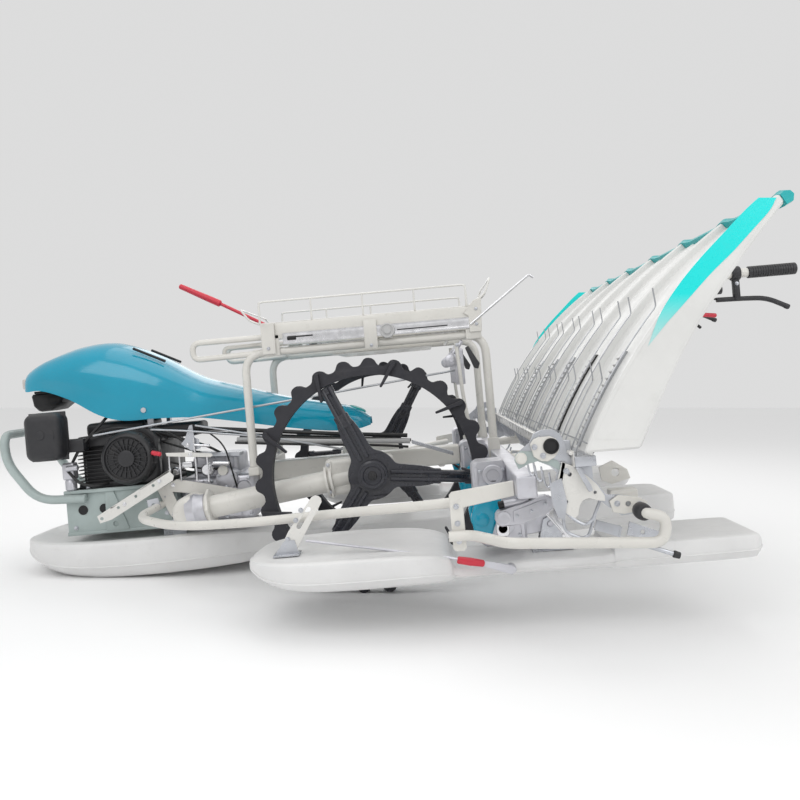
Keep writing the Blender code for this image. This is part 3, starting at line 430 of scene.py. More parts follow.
def block(xs, ys, zs, soft=0.003, segments=2, recess=None, turn=None):
    # a cast or pressed box; recess is (normal, inset, depth) and sinks one face
    letGo()
    low = Vector((min(xs), min(ys), min(zs)))
    high = Vector((max(xs), max(ys), max(zs)))
    middle, size = (low + high) / 2, high - low
    bpy.ops.mesh.primitive_cube_add(size=1.0, location=(0, 0, 0), scale=size)
    piece = squareUp(bpy.context.object)
    if recess:
        normal, inset, depth = recess
        pickFaces(piece, lambda face: face.normal.dot(Vector(normal)) > 0.9)
        bpy.ops.mesh.inset(thickness=inset, depth=-depth)
        bpy.ops.object.mode_set(mode="OBJECT")
    if soft:
        ease(piece, min(soft, min(size) * 0.3), segments)
    piece.matrix_world = Matrix.Translation(middle) @ (turn or Matrix())
    return squareUp(piece)


def pickFaces(piece, wanted):
    pick(piece)
    bpy.ops.object.mode_set(mode="EDIT")
    bpy.ops.mesh.select_all(action="DESELECT")
    bpy.ops.mesh.select_mode(type="FACE")
    bpy.ops.object.mode_set(mode="OBJECT")
    for face in piece.data.polygons:
        face.select = bool(wanted(face))
    bpy.ops.object.mode_set(mode="EDIT")


def copied(piece, matrix):
    twin = piece.copy()
    twin.data = piece.data.copy()
    bpy.context.collection.objects.link(twin)
    twin.matrix_world = matrix @ piece.matrix_world
    return squareUp(twin)


def bolts(spots, size=0.006, nut=True):
    # hexagon heads on washers; spots are (point, direction they face)
    washer = turned((0, 0, 0), (0, 0, 1), [(0.0, size * 1.25), (size * 0.22, size * 1.25)], 16)
    head = turned((0, 0, 0), (0, 0, 1), [(size * 0.22, size * 0.85), (size * 0.24, size * 0.95),
                                         (size * 0.85, size * 0.95), (size * 0.95, size * 0.8)], 6)
    parts = [washer, head]
    if nut:
        parts.append(turned((0, 0, 0), (0, 0, 1), [(size * 0.9, size * 0.42),
                                                   (size * 1.3, size * 0.4)], 10))
    model = weld(*parts)
    made = [copied(model, along(point, Vector(point) + Vector(facing))) for point, facing in spots]
    bpy.data.objects.remove(model)
    return weld(*made)


def finishPiece(piece, name, body, coat, replaces=(), angle=38, tilted=True):
    # gives a drawn piece, or a list of parts, its place, shading, coat and body
    if isinstance(piece, list):
        piece = weld(*piece)
    if tilted:
        piece.matrix_world = tilt @ piece.matrix_world
    squareUp(piece)
    piece.name = piece.data.name = name
    bpy.ops.object.shade_smooth_by_angle(angle=math.radians(angle))
    coats = (coat,) if isinstance(coat, str) else coat
    if len(coats) == 1 or not piece.data.materials:
        piece.data.materials.clear()
        for each in coats:
            piece.data.materials.append(finishes[each])
    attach(piece, body)
    if replaces:
        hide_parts(*replaces)
    return piece


setUpStudio()
makeAllFinishes()


# --- seedling tray
trayShape = {"low": (0.505, 0.3975), "high": (0.944, 0.891), "sag": 0.046, "halfY": 0.9,
             "pitch": 0.3, "rib": 0.0175, "ribHalf": 0.011, "rows": 6, "wall": 0.0036}


def trayPoint(share, lift=0.0):
    # a point on the tray's curved sheet: share runs up it, lift stands off its front
    low, high = Vector(trayShape["low"]), Vector(trayShape["high"])
    chord = high - low
    radius = chord.length ** 2 / (8 * trayShape["sag"]) + trayShape["sag"] / 2
    out = Vector((chord.y, -chord.x)).normalized()
    centre = (low + high) / 2 + out * (radius - trayShape["sag"])
    first = math.atan2(*reversed(low - centre)) % (2 * math.pi)
    last = math.atan2(*reversed(high - centre)) % (2 * math.pi)
    angle = first + (last - first) * share
    return (centre.x + (radius + lift) * math.cos(angle),
            centre.y + (radius + lift) * math.sin(angle))


def onTray(share, y, lift):
    x, z = trayPoint(share, lift)
    return x, y, z


def bentGrid(columns, rows, spotOf):
    # a grid whose points are carried to spotOf(column, row), then welded
    letGo()
    bpy.ops.mesh.primitive_grid_add(x_subdivisions=columns, y_subdivisions=rows, size=1.0)
    piece = bpy.context.object
    for vert in piece.data.vertices:
        column = round((vert.co.x + 0.5) * columns)
        row = round((vert.co.y + 0.5) * rows)
        vert.co = spotOf(column, row)
    bpy.ops.object.mode_set(mode="EDIT")
    bpy.ops.mesh.select_all(action="SELECT")
    bpy.ops.mesh.remove_doubles(threshold=0.00002)
    bpy.ops.mesh.normals_make_consistent(inside=False)
    bpy.ops.object.mode_set(mode="OBJECT")
    return piece


def thickened(piece, wall, offset=0.0):
    pick(piece)
    skin = piece.modifiers.new("wall", "SOLIDIFY")
    skin.thickness, skin.offset, skin.use_even_offset = wall, offset, True
    bpy.ops.object.modifier_apply(modifier="wall")
    return piece


def makeTraySheet():
    # one pressed sheet: rounded hat ribs, and two shallow runners in each channel
    halfY, pitch, rib = trayShape["halfY"], trayShape["pitch"], trayShape["rib"]
    across = []
    for channel in range(trayShape["rows"]):
        start = -halfY + channel * pitch
        if channel:
            across += [(start + 0.004, rib), (start + 0.0075, rib * 0.86), (start + 0.011, 0.002)]
        else:
            across += [(start + 0.0002, rib), (start + 0.003, rib * 0.5), (start + 0.006, 0.002)]
        across.append((start + 0.02, 0.0))
        for middle in (0.075, 0.225):
            across += [(start + middle - 0.01, 0.0), (start + middle - 0.004, 0.0026),
                       (start + middle + 0.004, 0.0026), (start + middle + 0.01, 0.0)]
        end = start + pitch
        across.append((end - 0.02, 0.0))
        if channel < trayShape["rows"] - 1:
            across += [(end - 0.011, 0.002), (end - 0.0075, rib * 0.86), (end - 0.004, rib)]
        else:
            across += [(end - 0.006, 0.002), (end - 0.003, rib * 0.5), (end - 0.0002, rib)]
    across.sort()
    steps = 36
    sheet = bentGrid(len(across) - 1, steps,
                     lambda column, row: onTray(row / steps, across[column][0], across[column][1]))
    thickened(sheet, trayShape["wall"])
    backRail = []
    for start, end in ((0.595, 0.645),):
        corners = [trayPoint(start, -0.003), trayPoint(end, -0.003), trayPoint(end, -0.03),
                   trayPoint(start, -0.03)]
        backRail.append(cutSheet(corners, (-halfY + 0.02, halfY - 0.02), soft=0.004))
    finishPiece(weld(sheet, *backRail), "traySheet", "tray", "tray_white", replaces=("tray_panel",),
                angle=30)


def makeTrayCaps():
    # scalloped caps along the top edge, one swell over each rib
    halfY, pitch = trayShape["halfY"] + 0.0195, trayShape["pitch"]
    ring = [(0.0012, 0.022), (0.02, 0.024), (0.04, 0.015), (0.044, 0.002), (0.028, -0.011),
            (0.0012, -0.009)]
    steps = 120

    def spot(column, row):
        y = -halfY + 2 * halfY * row / steps
        swell = max(0.0, math.cos(2 * math.pi * (y + 0.9) / pitch)) ** 3
        if column in (0, len(ring) + 2):
            share, lift = 0.016, 0.005
        else:
            share, lift = ring[(column - 1) % len(ring)]
        if column not in (0, len(ring) + 2):
            lift = lift * (0.62 + 0.38 * swell) if lift > 0 else lift
            share = share * (0.8 + 0.2 * swell)
        if row in (0, steps):
            share, lift = share * 0.9 + 0.0016, lift * 0.85 + 0.0006
        return onTray(1.0 + share, y, lift)

    cap = bentGrid(len(ring) + 2, steps, spot)
    pick(cap)
    bpy.ops.object.mode_set(mode="EDIT")
    bpy.ops.mesh.select_all(action="DESELECT")
    bpy.ops.mesh.select_mode(type="EDGE")
    bpy.ops.mesh.select_non_manifold()
    bpy.ops.mesh.edge_face_add()
    bpy.ops.mesh.select_all(action="SELECT")
    bpy.ops.mesh.normals_make_consistent(inside=False)
    bpy.ops.object.mode_set(mode="OBJECT")
    finishPiece(cap, "trayTopCaps", "tray", "trim_teal", replaces=("tray_top_trim",), angle=45)


def makeTrayEnds():
    finShape = {"inner": 0.9045, "outer": 0.924, "front": 0.022,
                "back": ((1.0, 0.0), (0.9, -0.015), (0.8, -0.028), (0.68, -0.041), (0.55, -0.052),
                         (0.42, -0.063), (0.3, -0.072), (0.18, -0.079), (0.08, -0.082))}
    stripeEdges = {"front": [(0.633, 0.616), (0.665, 0.682), (0.707, 0.737), (0.755, 0.787),
                             (0.809, 0.836), (0.857, 0.879), (0.888, 0.903)],
                   "back": [(0.925, 0.9), (0.908, 0.874), (0.868, 0.836), (0.825, 0.796),
                            (0.777, 0.756), (0.724, 0.706), (0.676, 0.661)]}
    outline = [trayPoint(step / 26, finShape["front"]) for step in range(27)]
    outline += [trayPoint(share, lift) for share, lift in finShape["back"]]
    inset = [trayPoint(0.05 + 0.9 * step / 26, finShape["front"] - 0.008) for step in range(27)]
    inset += [trayPoint(share * 0.93 + 0.03, lift * 0.9 + 0.004) for share,
              lift in finShape["back"][1:]]
    for name, side in sides:
        face = side * finShape["outer"]
        fin = cutSheet(outline, (side * finShape["inner"], face), soft=0.005)
        lip = cutSheet(inset, (face - side * 0.001, face + side * 0.0006), soft=0.0)
        finishPiece(weld(fin, lip), f"trayEnd_{name}", "tray", "tray_white",
                    replaces=(f"tray_fin_{name}",))
        run = smoothLine(stripeEdges["front"], 6) + smoothLine(stripeEdges["back"], 6)
        stripe = cutSheet(run, (face + side * 0.0008, face + side * 0.0014))
        finishPiece(stripe, f"trayStripe_{name}", "tray", "stripeCyan")


def smoothLine(points, parts):
    # carries a smooth line through the given points
    points = [Vector(point) for point in points]
    ends = [points[0] * 2 - points[1], *points, points[-1] * 2 - points[-2]]
    line = []
    for a, b, c, d in zip(ends, ends[1:], ends[2:], ends[3:]):
        for step in range(parts):
            t = step / parts
            line.append(tuple(0.5 * ((2 * b) + (c - a) * t + (2 * a - 5 * b + 4 * c - d) * t * t
                                     + (3 * b - a - 3 * c + d) * t ** 3)))
    return line + [tuple(points[-1])]


def makeTrayWires():
    # kinked wires that hold the mats down, two long and two short in each channel
    wire = {"radius": 0.0017, "off": 0.026, "long": 0.52, "short": 0.24}
    runs = []
    for channel in range(trayShape["rows"]):
        middle = -trayShape["halfY"] + (channel + 0.5) * trayShape["pitch"]
        for y, top in ((middle - 0.1, wire["long"]), (middle + 0.1, wire["long"]),
                       (middle - 0.048, wire["short"]), (middle + 0.048, wire["short"])):
            route = [onTray(share, y, wire["off"]) for share in
                     [top * step / 8 for step in range(9)]]
            x, _, z = route[-1]
            foot = onTray(-0.035, y, wire["off"] - 0.006)
            tip = (x - 0.004, y, z + 0.04)
            runs.append(pipe([foot, *route, tip], wire["radius"], 0.006, 1, 2))
            runs.append(bar(onTray(0.03, y, 0.001), onTray(0.03, y, wire["off"]), 0.0015, 6))
    finishPiece(runs, "matWires", "tray", "wireGrey")
    print("tray wires are bent")


def makeTrayBelts():
    # cleated belts that draw the mats down the channels
    belt = {"halfWidth": 0.014, "top": 0.36, "cleats": 13}
    strips, paleStrips, bars = [], [], []
    for channel in range(trayShape["rows"]):
        middle = -trayShape["halfY"] + (channel + 0.5) * trayShape["pitch"]
        corners = [trayPoint(step / 12 * belt["top"] + 0.01, 0.0062) for step in range(13)]
        corners += [trayPoint(belt["top"] + 0.012, 0.0042), trayPoint(belt["top"] + 0.012, 0.0024)]
        corners += [trayPoint(step / 12 * belt["top"] + 0.01, 0.002) for step in range(12, -1, -1)]
        run = cutSheet(corners, (middle - belt["halfWidth"], middle + belt["halfWidth"]))
        (strips if channel == 1 else paleStrips).append(run)
        for cleat in range(belt["cleats"]):
            share = 0.02 + cleat * (belt["top"] - 0.02) / belt["cleats"]
            shape = [trayPoint(share, 0.006), trayPoint(share + 0.003, 0.0115),
                     trayPoint(share + 0.006, 0.0115), trayPoint(share + 0.01, 0.006)]
            bars.append(cutSheet(shape, (middle - 0.012, middle + 0.012)))
    finishPiece(strips, "feedBelt", "tray", "hoseRubber")
    finishPiece(paleStrips, "feedBelts", "tray", "wireGrey")
    finishPiece(bars, "beltCleats", "tray", "greyPlastic")


def makeTrayRail():
    # comb of fingers under the cross rail, with the shoe rail the tray's lower edge runs on
    comb = {"x": 0.4985, "top": 0.3735, "drop": 0.052, "pitch": 0.025}
    fingers = []
    count = int(1.76 / comb["pitch"])
    shape = [(0.47, 0.3735), (0.479, 0.3735), (0.5, comb["top"] - comb["drop"] + 0.012),
             (0.503, comb["top"] - comb["drop"]), (0.494, comb["top"] - comb["drop"] - 0.002)]
    finger = cutSheet(shape, (-0.003, 0.003), soft=0.001)
    for step in range(count + 1):
        y = -0.88 + step * comb["pitch"]
        if abs(abs(y) - 0.28) > 0.02:
            fingers.append(copied(finger, Matrix.Translation((0, y, 0))))
    bpy.data.objects.remove(finger)
    finishPiece(fingers, "combFingers", "chassis", "zinc_plate")
    rail = [block((0.469, 0.515), (-0.885, 0.885), (0.374, 0.396), 0.002, recess=((0, 0, 1), 0.006,
                                                                                  0.002))]
    outline = [(0.345, 0.396), (0.351, 0.411), (0.38, 0.432), (0.39, 0.45), (0.406, 0.457),
               (0.43, 0.457),
               (0.448, 0.446), (0.456, 0.426), (0.4625, 0.398), (0.476, 0.383), (0.498, 0.356),
               (0.518, 0.333),
               (0.536, 0.306), (0.562, 0.304), (0.615, 0.291), (0.612, 0.262), (0.566, 0.258),
               (0.54, 0.278),
               (0.524, 0.292), (0.496, 0.304), (0.48, 0.3), (0.47, 0.275), (0.463, 0.263),
               (0.44, 0.28),
               (0.421, 0.307), (0.428, 0.34), (0.434, 0.362), (0.42, 0.378), (0.394, 0.391),
               (0.374, 0.387),
               (0.352, 0.377)]
    for side in (-1, 1):
        rail.append(cutSheet(outline, (side * 0.85, side * 0.8558), soft=0.001))
        rail.append(block((0.47, 0.512), (side * 0.846, side * 0.8503), (0.33, 0.3745), 0.001))
        rail.append(block((0.452, 0.47), (side * 0.838, side * 0.85), (0.34, 0.43), 0.003))
        rail.append(turned((0.426, side * 0.7, 0.4215), (0.426, side * 0.858, 0.4215),
                           [(0, 0.013), (0.158, 0.013)], 22))
    finishPiece(rail, "travelRail", "chassis", "zinc_plate", replaces=("tray_rail",))
    strip = block((0.4665, 0.4684), (-0.885, 0.885), (0.3745, 0.409), 0.0008, recess=((-1, 0, 0),
            0.006, 0.0006))
    lipBar = bar((0.4625, -0.885, 0.4045), (0.4625, 0.885, 0.4045), 0.0042, 10)
    finishPiece(weld(strip, lipBar), "railLip", "chassis", "wire_white")
    print("tray is dressed")


def makeStripeCoat():
    stripe = Finish("stripeCyan", (0.0, 0.7, 0.66), 0.28)
    height = stripe.node("ShaderNodeSeparateXYZ", {}, {"Vector": stripe.here()}, out=2)
    fade = stripe.band(height, 0.64, 0.78)
    grime = stripe.band(stripe.noise(30.0, 5.0), 0.55, 0.8, 0.0, 0.08)
    tone = stripe.mix(fade, (0.6, 0.68, 0.67), (0.0, 0.715, 0.69))
    stripe.set("Base Color", stripe.mix(grime, tone, (0.2, 0.25, 0.25)))
    stripe.set("Roughness", stripe.band(stripe.noise(30.0), 0.3, 0.7, 0.22, 0.36))
    stripe.bump(stripe.noise(420.0), 0.08, 0.0004)
    finishes["stripeCyan"] = stripe.material


makeStripeCoat()
makeTraySheet()
makeTrayCaps()
makeTrayEnds()
makeTrayWires()
makeTrayBelts()
makeTrayRail()


# --- hood
hoodShape = {
    "stations": [(-1.104, 0.052, 0.702, 0.656), (-1.08, 0.088, 0.724, 0.652),
                 (-1.02, 0.118, 0.754, 0.65), (-0.93, 0.14, 0.781, 0.616),
                 (-0.841, 0.15, 0.79, 0.562), (-0.765, 0.15, 0.774, 0.538),
                 (-0.665, 0.15, 0.727, 0.536), (-0.546, 0.132, 0.655, 0.528),
                 (-0.432, 0.112, 0.616, 0.506), (-0.278, 0.094, 0.568, 0.472),
                 (-0.14, 0.078, 0.535, 0.448), (-0.058, 0.064, 0.512, 0.446),
                 (-0.015, 0.04, 0.48, 0.454)],
    "arch": [(1.0, 0.0), (1.0, 0.14), (0.995, 0.3), (0.965, 0.48), (0.9, 0.64), (0.8, 0.77),
             (0.66, 0.87), (0.46, 0.945), (0.23, 0.985), (0.0, 1.0)],
    "wall": 0.0032}


def makeHood():
    # a smooth skin through the hood's sections, its flank pressed in below a swept crease
    columns = [smoothLine([(station[0], station[index]) for station in hoodShape["stations"]], 6)
               for index in (1, 2, 3)]
    halves = [point[1] for point in columns[0]]
    tops = [point[1] for point in columns[1]]
    lows = [point[1] for point in columns[2]]
    places = [point[0] for point in columns[0]]
    arch = hoodShape["arch"]
    ring = [(-1, *pair) for pair in arch] + [(1, *pair) for pair in reversed(arch[:-1])]
    last = len(places) - 1

    def spot(column, row):
        side, across, up = ring[column]
        x, half, top, low = places[row], halves[row], tops[row], lows[row]
        z = low + (top - low) * up
        crease = 0.7 + (x + 1.05) * -0.155 if x > -1.05 else 0.7
        flank = max(0.0, min(1.0, (crease - z) / 0.03)) * max(0.0, min(1.0, (x + 1.09) / 0.09))
        fade = max(0.0, min(1.0, (-0.52 - x) / 0.12))
        half -= 0.01 * flank * fade
        ridge = max(0.0, 1 - abs(across * half - 0.052) / 0.018) * max(0.0,
                                                                       min(1.0, (-0.3 - x) / 0.1))
        if up > 0.8:
            z -= 0.0035 * ridge * max(0.0, min(1.0, (x + 1.05) / 0.08))
        return x, side * across * half, z

    skin = bentGrid(len(ring) - 1, last, spot)
    pick(skin)
    bpy.ops.object.mode_set(mode="EDIT")
    bpy.ops.mesh.select_all(action="DESELECT")
    bpy.ops.object.mode_set(mode="OBJECT")
    for edge in skin.data.edges:
        ends = [skin.data.vertices[index].co.x for index in edge.vertices]
        edge.select = max(ends) < places[0] + 0.0005 or min(ends) > places[-1] - 0.0005
    bpy.ops.object.mode_set(mode="EDIT")
    bpy.ops.mesh.select_mode(type="EDGE")
    bpy.ops.object.mode_set(mode="OBJECT")
    nose = bentGrid(len(ring) - 1, 4, lambda column, row: noseSpot(ring[column], row))
    skin = weld(skin, nose)
    bpy.ops.object.mode_set(mode="EDIT")
    bpy.ops.mesh.select_all(action="SELECT")
    bpy.ops.mesh.remove_doubles(threshold=0.0002)
    bpy.ops.mesh.normals_make_consistent(inside=False)
    bpy.ops.object.mode_set(mode="OBJECT")
    thickened(skin, hoodShape["wall"], -1.0)
    finishPiece(skin, "hoodSkin", "chassis", "hood_teal", replaces=("hood",), angle=42)


def noseSpot(section, row):
    # closes the front of the hood with a short blunt nose
    side, across, up = section
    x, half, top, low = hoodShape["stations"][0]
    share = row / 4
    middle = low + (top - low) * 0.5
    z = low + (top - low) * up
    shrink = 1.0 - share
    return (x - 0.004 * math.sin(share * math.pi / 2), side * across * half * shrink,
            middle + (z - middle) * shrink)


def makeHoodTrim():
    # headlamp facet, the black box under the nose, and black bars that paint the shade inside the
    # crown's slots
    lamp = block((-1.1055, -1.07), (-0.066, 0.066), (0.662, 0.694), 0.006, 3, recess=((-1, 0, 0),
                                                                                      0.004, 0.002))
    finishPiece(lamp, "headLamp", "chassis", "lampGlass")
    box = cutSheet([(-1.084, 0.643), (-1.078, 0.606), (-1.06, 0.586), (-1.02, 0.59),
                    (-0.988, 0.612),
                    (-0.98, 0.64), (-1.0, 0.648)], (-0.06, 0.06), soft=0.006)
    lid = block((-1.07, -1.0), (-0.064, 0.064), (0.644, 0.652), 0.002)
    finishPiece(weld(box, lid), "lampBox", "chassis", "deepBlack")
    # black bars painted in as the shade inside the crown's slots
    slotShade = []
    for side in (-1, 1):
        slotShade.append(bar((-0.738, side * 0.084, 0.7605), (-0.64, side * 0.08, 0.7115), 0.0042, 8,
                         0.003))
    finishPiece(slotShade, "crownSlotShade", "chassis", "deepBlack")
    tail = turned((-0.06, 0, 0.5), (-0.05, 0, 0.5235), [(0, 0.03), (0.004, 0.032), (0.012, 0.026),
                                                        (0.014, 0.018)], 20)
    finishPiece(tail, "tankCap", "chassis", "trim_teal")
    print("hood is on")


makeHood()
makeHoodTrim()


# --- paddy wheels
wheelShape = {"radius": 0.33, "y": 0.34, "lugs": 27, "lugHeight": 0.022, "band": 0.026,
              "halfWidth": 0.017, "turn": {"left": math.radians(-6), "right": math.radians(59)},
              "hubInside": 0.2886, "hubFace": 0.37}


def roundWheel(angle, radius):
    return radius * math.cos(angle), wheelShape["radius"] + radius * math.sin(angle)


def makeWheel(name, side):
    turn, y = wheelShape["turn"][name], side * wheelShape["y"]
    crown = wheelShape["radius"] - wheelShape["lugHeight"]
    step = 2 * math.pi / wheelShape["lugs"]
    edge = []
    lobe = ((-0.5, 0.0), (-0.38, 0.001), (-0.3, 0.006), (-0.22, 0.015), (-0.13, 0.02),
            (-0.03, 0.0218),
            (0.08, 0.0213), (0.17, 0.018), (0.24, 0.011), (0.31, 0.004), (0.4, 0.0005))
    for lug in range(wheelShape["lugs"]):
        edge += [roundWheel((lug + share) * step + turn, crown + rise) for share, rise in lobe]
    inner = [roundWheel(2 * math.pi * part / 108 + turn, crown - wheelShape["band"])
             for part in range(108)]
    tyre = cutSheet(edge, (y - wheelShape["halfWidth"], y + wheelShape["halfWidth"]), [inner],
                    soft=0.0045)
    extras = []
    for lug in range(0, wheelShape["lugs"], 3):
        angle = (lug + 0.02) * step + turn
        # a paddle on the outer flank, swept back from its lug
        tip = roundWheel(angle, crown + 0.017)
        root = roundWheel(angle + 0.1, crown - 0.06)
        across = Vector((tip[0] - root[0], tip[1] - root[1])).normalized().orthogonal() * 0.0065
        shape = [(tip[0] + across.x, tip[1] + across.y), (tip[0] - across.x, tip[1] - across.y),
                 (root[0] - across.x * 0.5, root[1] - across.y * 0.5), (root[0] + across.x * 0.5,
                                                                        root[1] + across.y * 0.5)]
        extras.append(cutSheet(shape, (y + side * 0.0165, y + side * 0.03), soft=0.002))
    finishPiece(weld(tyre, *extras), f"lugTyre_{name}", f"wheel_{name}", "wheel_rubber",
                replaces=(f"wheel_rim_{name}",), angle=40)

    web = []
    for part in range(120):
        angle = 2 * math.pi * part / 120
        offset = (math.degrees(angle) + 60) % 120 - 60
        web.append(roundWheel(angle + turn, 0.07 + 0.13 * math.exp(-(offset / 15.0) ** 2)))
    spider = [cutSheet(web, (y - 0.006, y + 0.006), soft=0.002)]
    rim = crown - wheelShape["band"] - 0.001
    for spoke in range(3):
        angle = turn + spoke * math.radians(120)
        out = Vector((math.cos(angle), 0, math.sin(angle)))
        beside = Vector((-math.sin(angle), 0, math.cos(angle)))
        middle = Vector((0, y, wheelShape["radius"]))
        for face in (-1, 1):
            level = Vector((0, face * 0.0075, 0))
            for shift in (-0.0105, 0.0105):
                spider.append(bar(middle + out * 0.05 + beside * shift + level,
                                  middle + out * (rim - 0.004) + beside * shift + level, 0.0062,
                                  10))
        turnBlock = Matrix.Rotation(-angle, 4, "Y")
        spider.append(block((-0.11, 0.11), (-0.0058, 0.0058), (-0.01, 0.01), 0.002,
                            turn=Matrix.Translation(middle + out * (rim - 0.112)) @ turnBlock))
        for reach, length, wide in ((0.172, 0.02, 0.021), (rim - 0.012, 0.011, 0.02)):
            spider.append(block((-length, length), (-0.0125, 0.0125), (-wide, wide), 0.004,
                                recess=((0, side, 0), 0.006, 0.003),
                                turn=Matrix.Translation(middle + out * reach) @ turnBlock))
    hubStart = (0, side * wheelShape["hubInside"], wheelShape["radius"])
    hubEnd = (0, side * wheelShape["hubFace"], wheelShape["radius"])
    depth = wheelShape["hubFace"] - wheelShape["hubInside"]
    spider.append(turned(hubStart, hubEnd, [(0, 0.034), (0.002, 0.036), (depth - 0.034, 0.036),
                                            (depth - 0.03, 0.042),
                                            (depth - 0.008, 0.042), (depth - 0.006, 0.036),
                                            (depth - 0.0018, 0.035),
                                            (depth - 0.0015, 0.027), (depth - 0.005, 0.025),
                                            (depth - 0.005, 0.012)], 32))
    finishPiece(spider, f"spokedHub_{name}", f"wheel_{name}", "wheel_black",
                replaces=(f"wheel_spider_{name}",), angle=35)
    ring = [((0.03 * math.cos(math.radians(60 * k)), side * (wheelShape["hubFace"] - 0.0055),
              wheelShape["radius"] + 0.03 * math.sin(math.radians(60 * k))),
             (0, side, 0)) for k in range(6)]
    fixings = bolts(ring, 0.0034, nut=False)
    centre = turned((0, side * (wheelShape["hubFace"] - 0.005), wheelShape["radius"]), hubEnd,
                    [(0, 0.012), (0.001, 0.0125), (0.0035, 0.011), (0.0038, 0.006),
                     (0.0048, 0.005)], 20)
    finishPiece(weld(fixings, centre), f"hubBolts_{name}", f"wheel_{name}", "engine_black")


for name, side in sides:
    makeWheel(name, side)
print("wheels are fitted")


# --- floats
floatShapes = {
    "side": [(-0.292, 0.05, 0.188, 0.176, 0.7), (-0.275, 0.105, 0.194, 0.16, 0.7),
             (-0.23, 0.155, 0.196, 0.138, 0.8), (-0.15, 0.182, 0.196, 0.124, 0.85),
             (-0.02, 0.186, 0.194, 0.12, 0.88), (0.11, 0.176, 0.188, 0.118, 0.88),
             (0.185, 0.148, 0.172, 0.114, 0.88), (0.215, 0.122, 0.142, 0.112, 0.88),
             (0.38, 0.108, 0.142, 0.108, 0.88), (0.56, 0.108, 0.142, 0.104, 0.88),
             (0.605, 0.112, 0.16, 0.102, 0.88), (0.88, 0.112, 0.16, 0.1, 0.88),
             (0.92, 0.1, 0.156, 0.104, 0.88), (0.936, 0.078, 0.144, 0.112, 0.9)],
    "centre": [(-1.108, 0.08, 0.196, 0.176, 0.6), (-1.088, 0.135, 0.198, 0.14, 0.6),
               (-1.04, 0.185, 0.194, 0.108, 0.7), (-0.965, 0.215, 0.19, 0.086, 0.8),
               (-0.86, 0.225, 0.186, 0.074, 0.85), (-0.7, 0.222, 0.184, 0.07, 0.88),
               (-0.56, 0.205, 0.182, 0.07, 0.88), (-0.46, 0.17, 0.172, 0.07, 0.88),
               (-0.38, 0.128, 0.16, 0.07, 0.88), (-0.2, 0.11, 0.15, 0.07, 0.88),
               (0.56, 0.108, 0.15, 0.07, 0.88), (0.61, 0.112, 0.166, 0.072, 0.88),
               (0.88, 0.112, 0.166, 0.074, 0.88), (0.915, 0.08, 0.15, 0.092, 0.9)]}


def makeFloat(name, y, stations, pan):
    # a blow-moulded hull: crisp chine, soft deck edge, and a pan pressed into the wide part
    lines = [smoothLine([(station[0], station[index]) for station in stations], 5)
             for index in (1, 2, 3, 4)]
    rows = [(lines[0][step][0], *(line[step][1] for line in lines))
            for step in range(len(lines[0]))]
    rows = [(x, half, deck, keel + 0.0006, share) for x, half, deck, keel, share in rows]

    def ringAt(x, half, deck, keel, share):
        chine = keel + (deck - keel) * 0.34
        sink = pan * max(0.0, min(1.0, (half - 0.135) / 0.03))
        flat = [(0.0, keel), (half * share * 0.6, keel), (half * share * 0.97, keel + 0.0004),
                (half * (share + 0.985) / 2, keel + (chine - keel) * 0.38),
                (half * 0.978, chine - 0.002),
                (half * 0.986, chine + 0.001), (half * 0.996, deck - 0.018), (half, deck - 0.011),
                (half - 0.0025, deck - 0.004), (half - 0.008, deck - 0.0006), (half - 0.016, deck),
                (half - 0.026, deck), (half - 0.031, deck - sink * 0.8), (half - 0.04, deck - sink),
                (half * 0.4, deck - sink), (0.0, deck - sink)]
        return [(x, y + side * u, v) for side, row in ((1, flat), (-1, flat[-2:0:-1])) for u,
                v in row]

    rings = [ringAt(*row) for row in rows]

    def closing(ring, shares, push):
        middle = Vector((0, 0, 0))
        for point in ring:
            middle += Vector(point) / len(ring)
        made = []
        for share in shares:
            made.append([tuple(middle + (Vector(point) - middle) * share
                               + Vector((push * (1 - share ** 4), 0, 0)))
                         for point in ring])
        return made

    rings = closing(rings[0], (0.02, 0.55, 0.85), -0.006) + rings + closing(rings[-1],
                                                                            (0.9, 0.5, 0.02), 0.004)
    count = len(rings[0])
    hull = bentGrid(count, len(rings) - 1, lambda column, row: rings[row][column % count])
    pick(hull)
    bpy.ops.object.mode_set(mode="EDIT")
    bpy.ops.mesh.select_all(action="SELECT")
    bpy.ops.mesh.fill_holes(sides=0)
    bpy.ops.mesh.normals_make_consistent(inside=False)
    bpy.ops.object.mode_set(mode="OBJECT")
    # a rolled lip runs round the hull where its two halves meet
    runs = []
    for way in (-1, 1):
        seam = [(x, y + way * half * 0.984, keel + (deck - keel) * 0.34) for x, half, deck, keel,
                _ in rows]
        runs.append(pipe(seam, 0.0026, 0, 1))
    finishPiece(runs, f"hullLip_{name}", f"float_{name}", "float_white")
    return finishPiece(hull, f"hull_{name}", f"float_{name}", "float_white",
                       replaces=(f"float_{name}",), angle=32)


for name, y, kind, pan in (("left", -0.6, "side", 0.002), ("center", 0.0, "centre", 0.012),
                           ("right", 0.6, "side", 0.002)):
    makeFloat(name, y, floatShapes[kind], pan)
print("floats are moulded")


# --- sliding basket and its rack
basketShape = {"front": -0.313, "back": 0.317, "halfY": 0.1965, "floor": 0.7915, "side": 0.066,
               "wire": 0.0029, "long": 9, "across": 5}


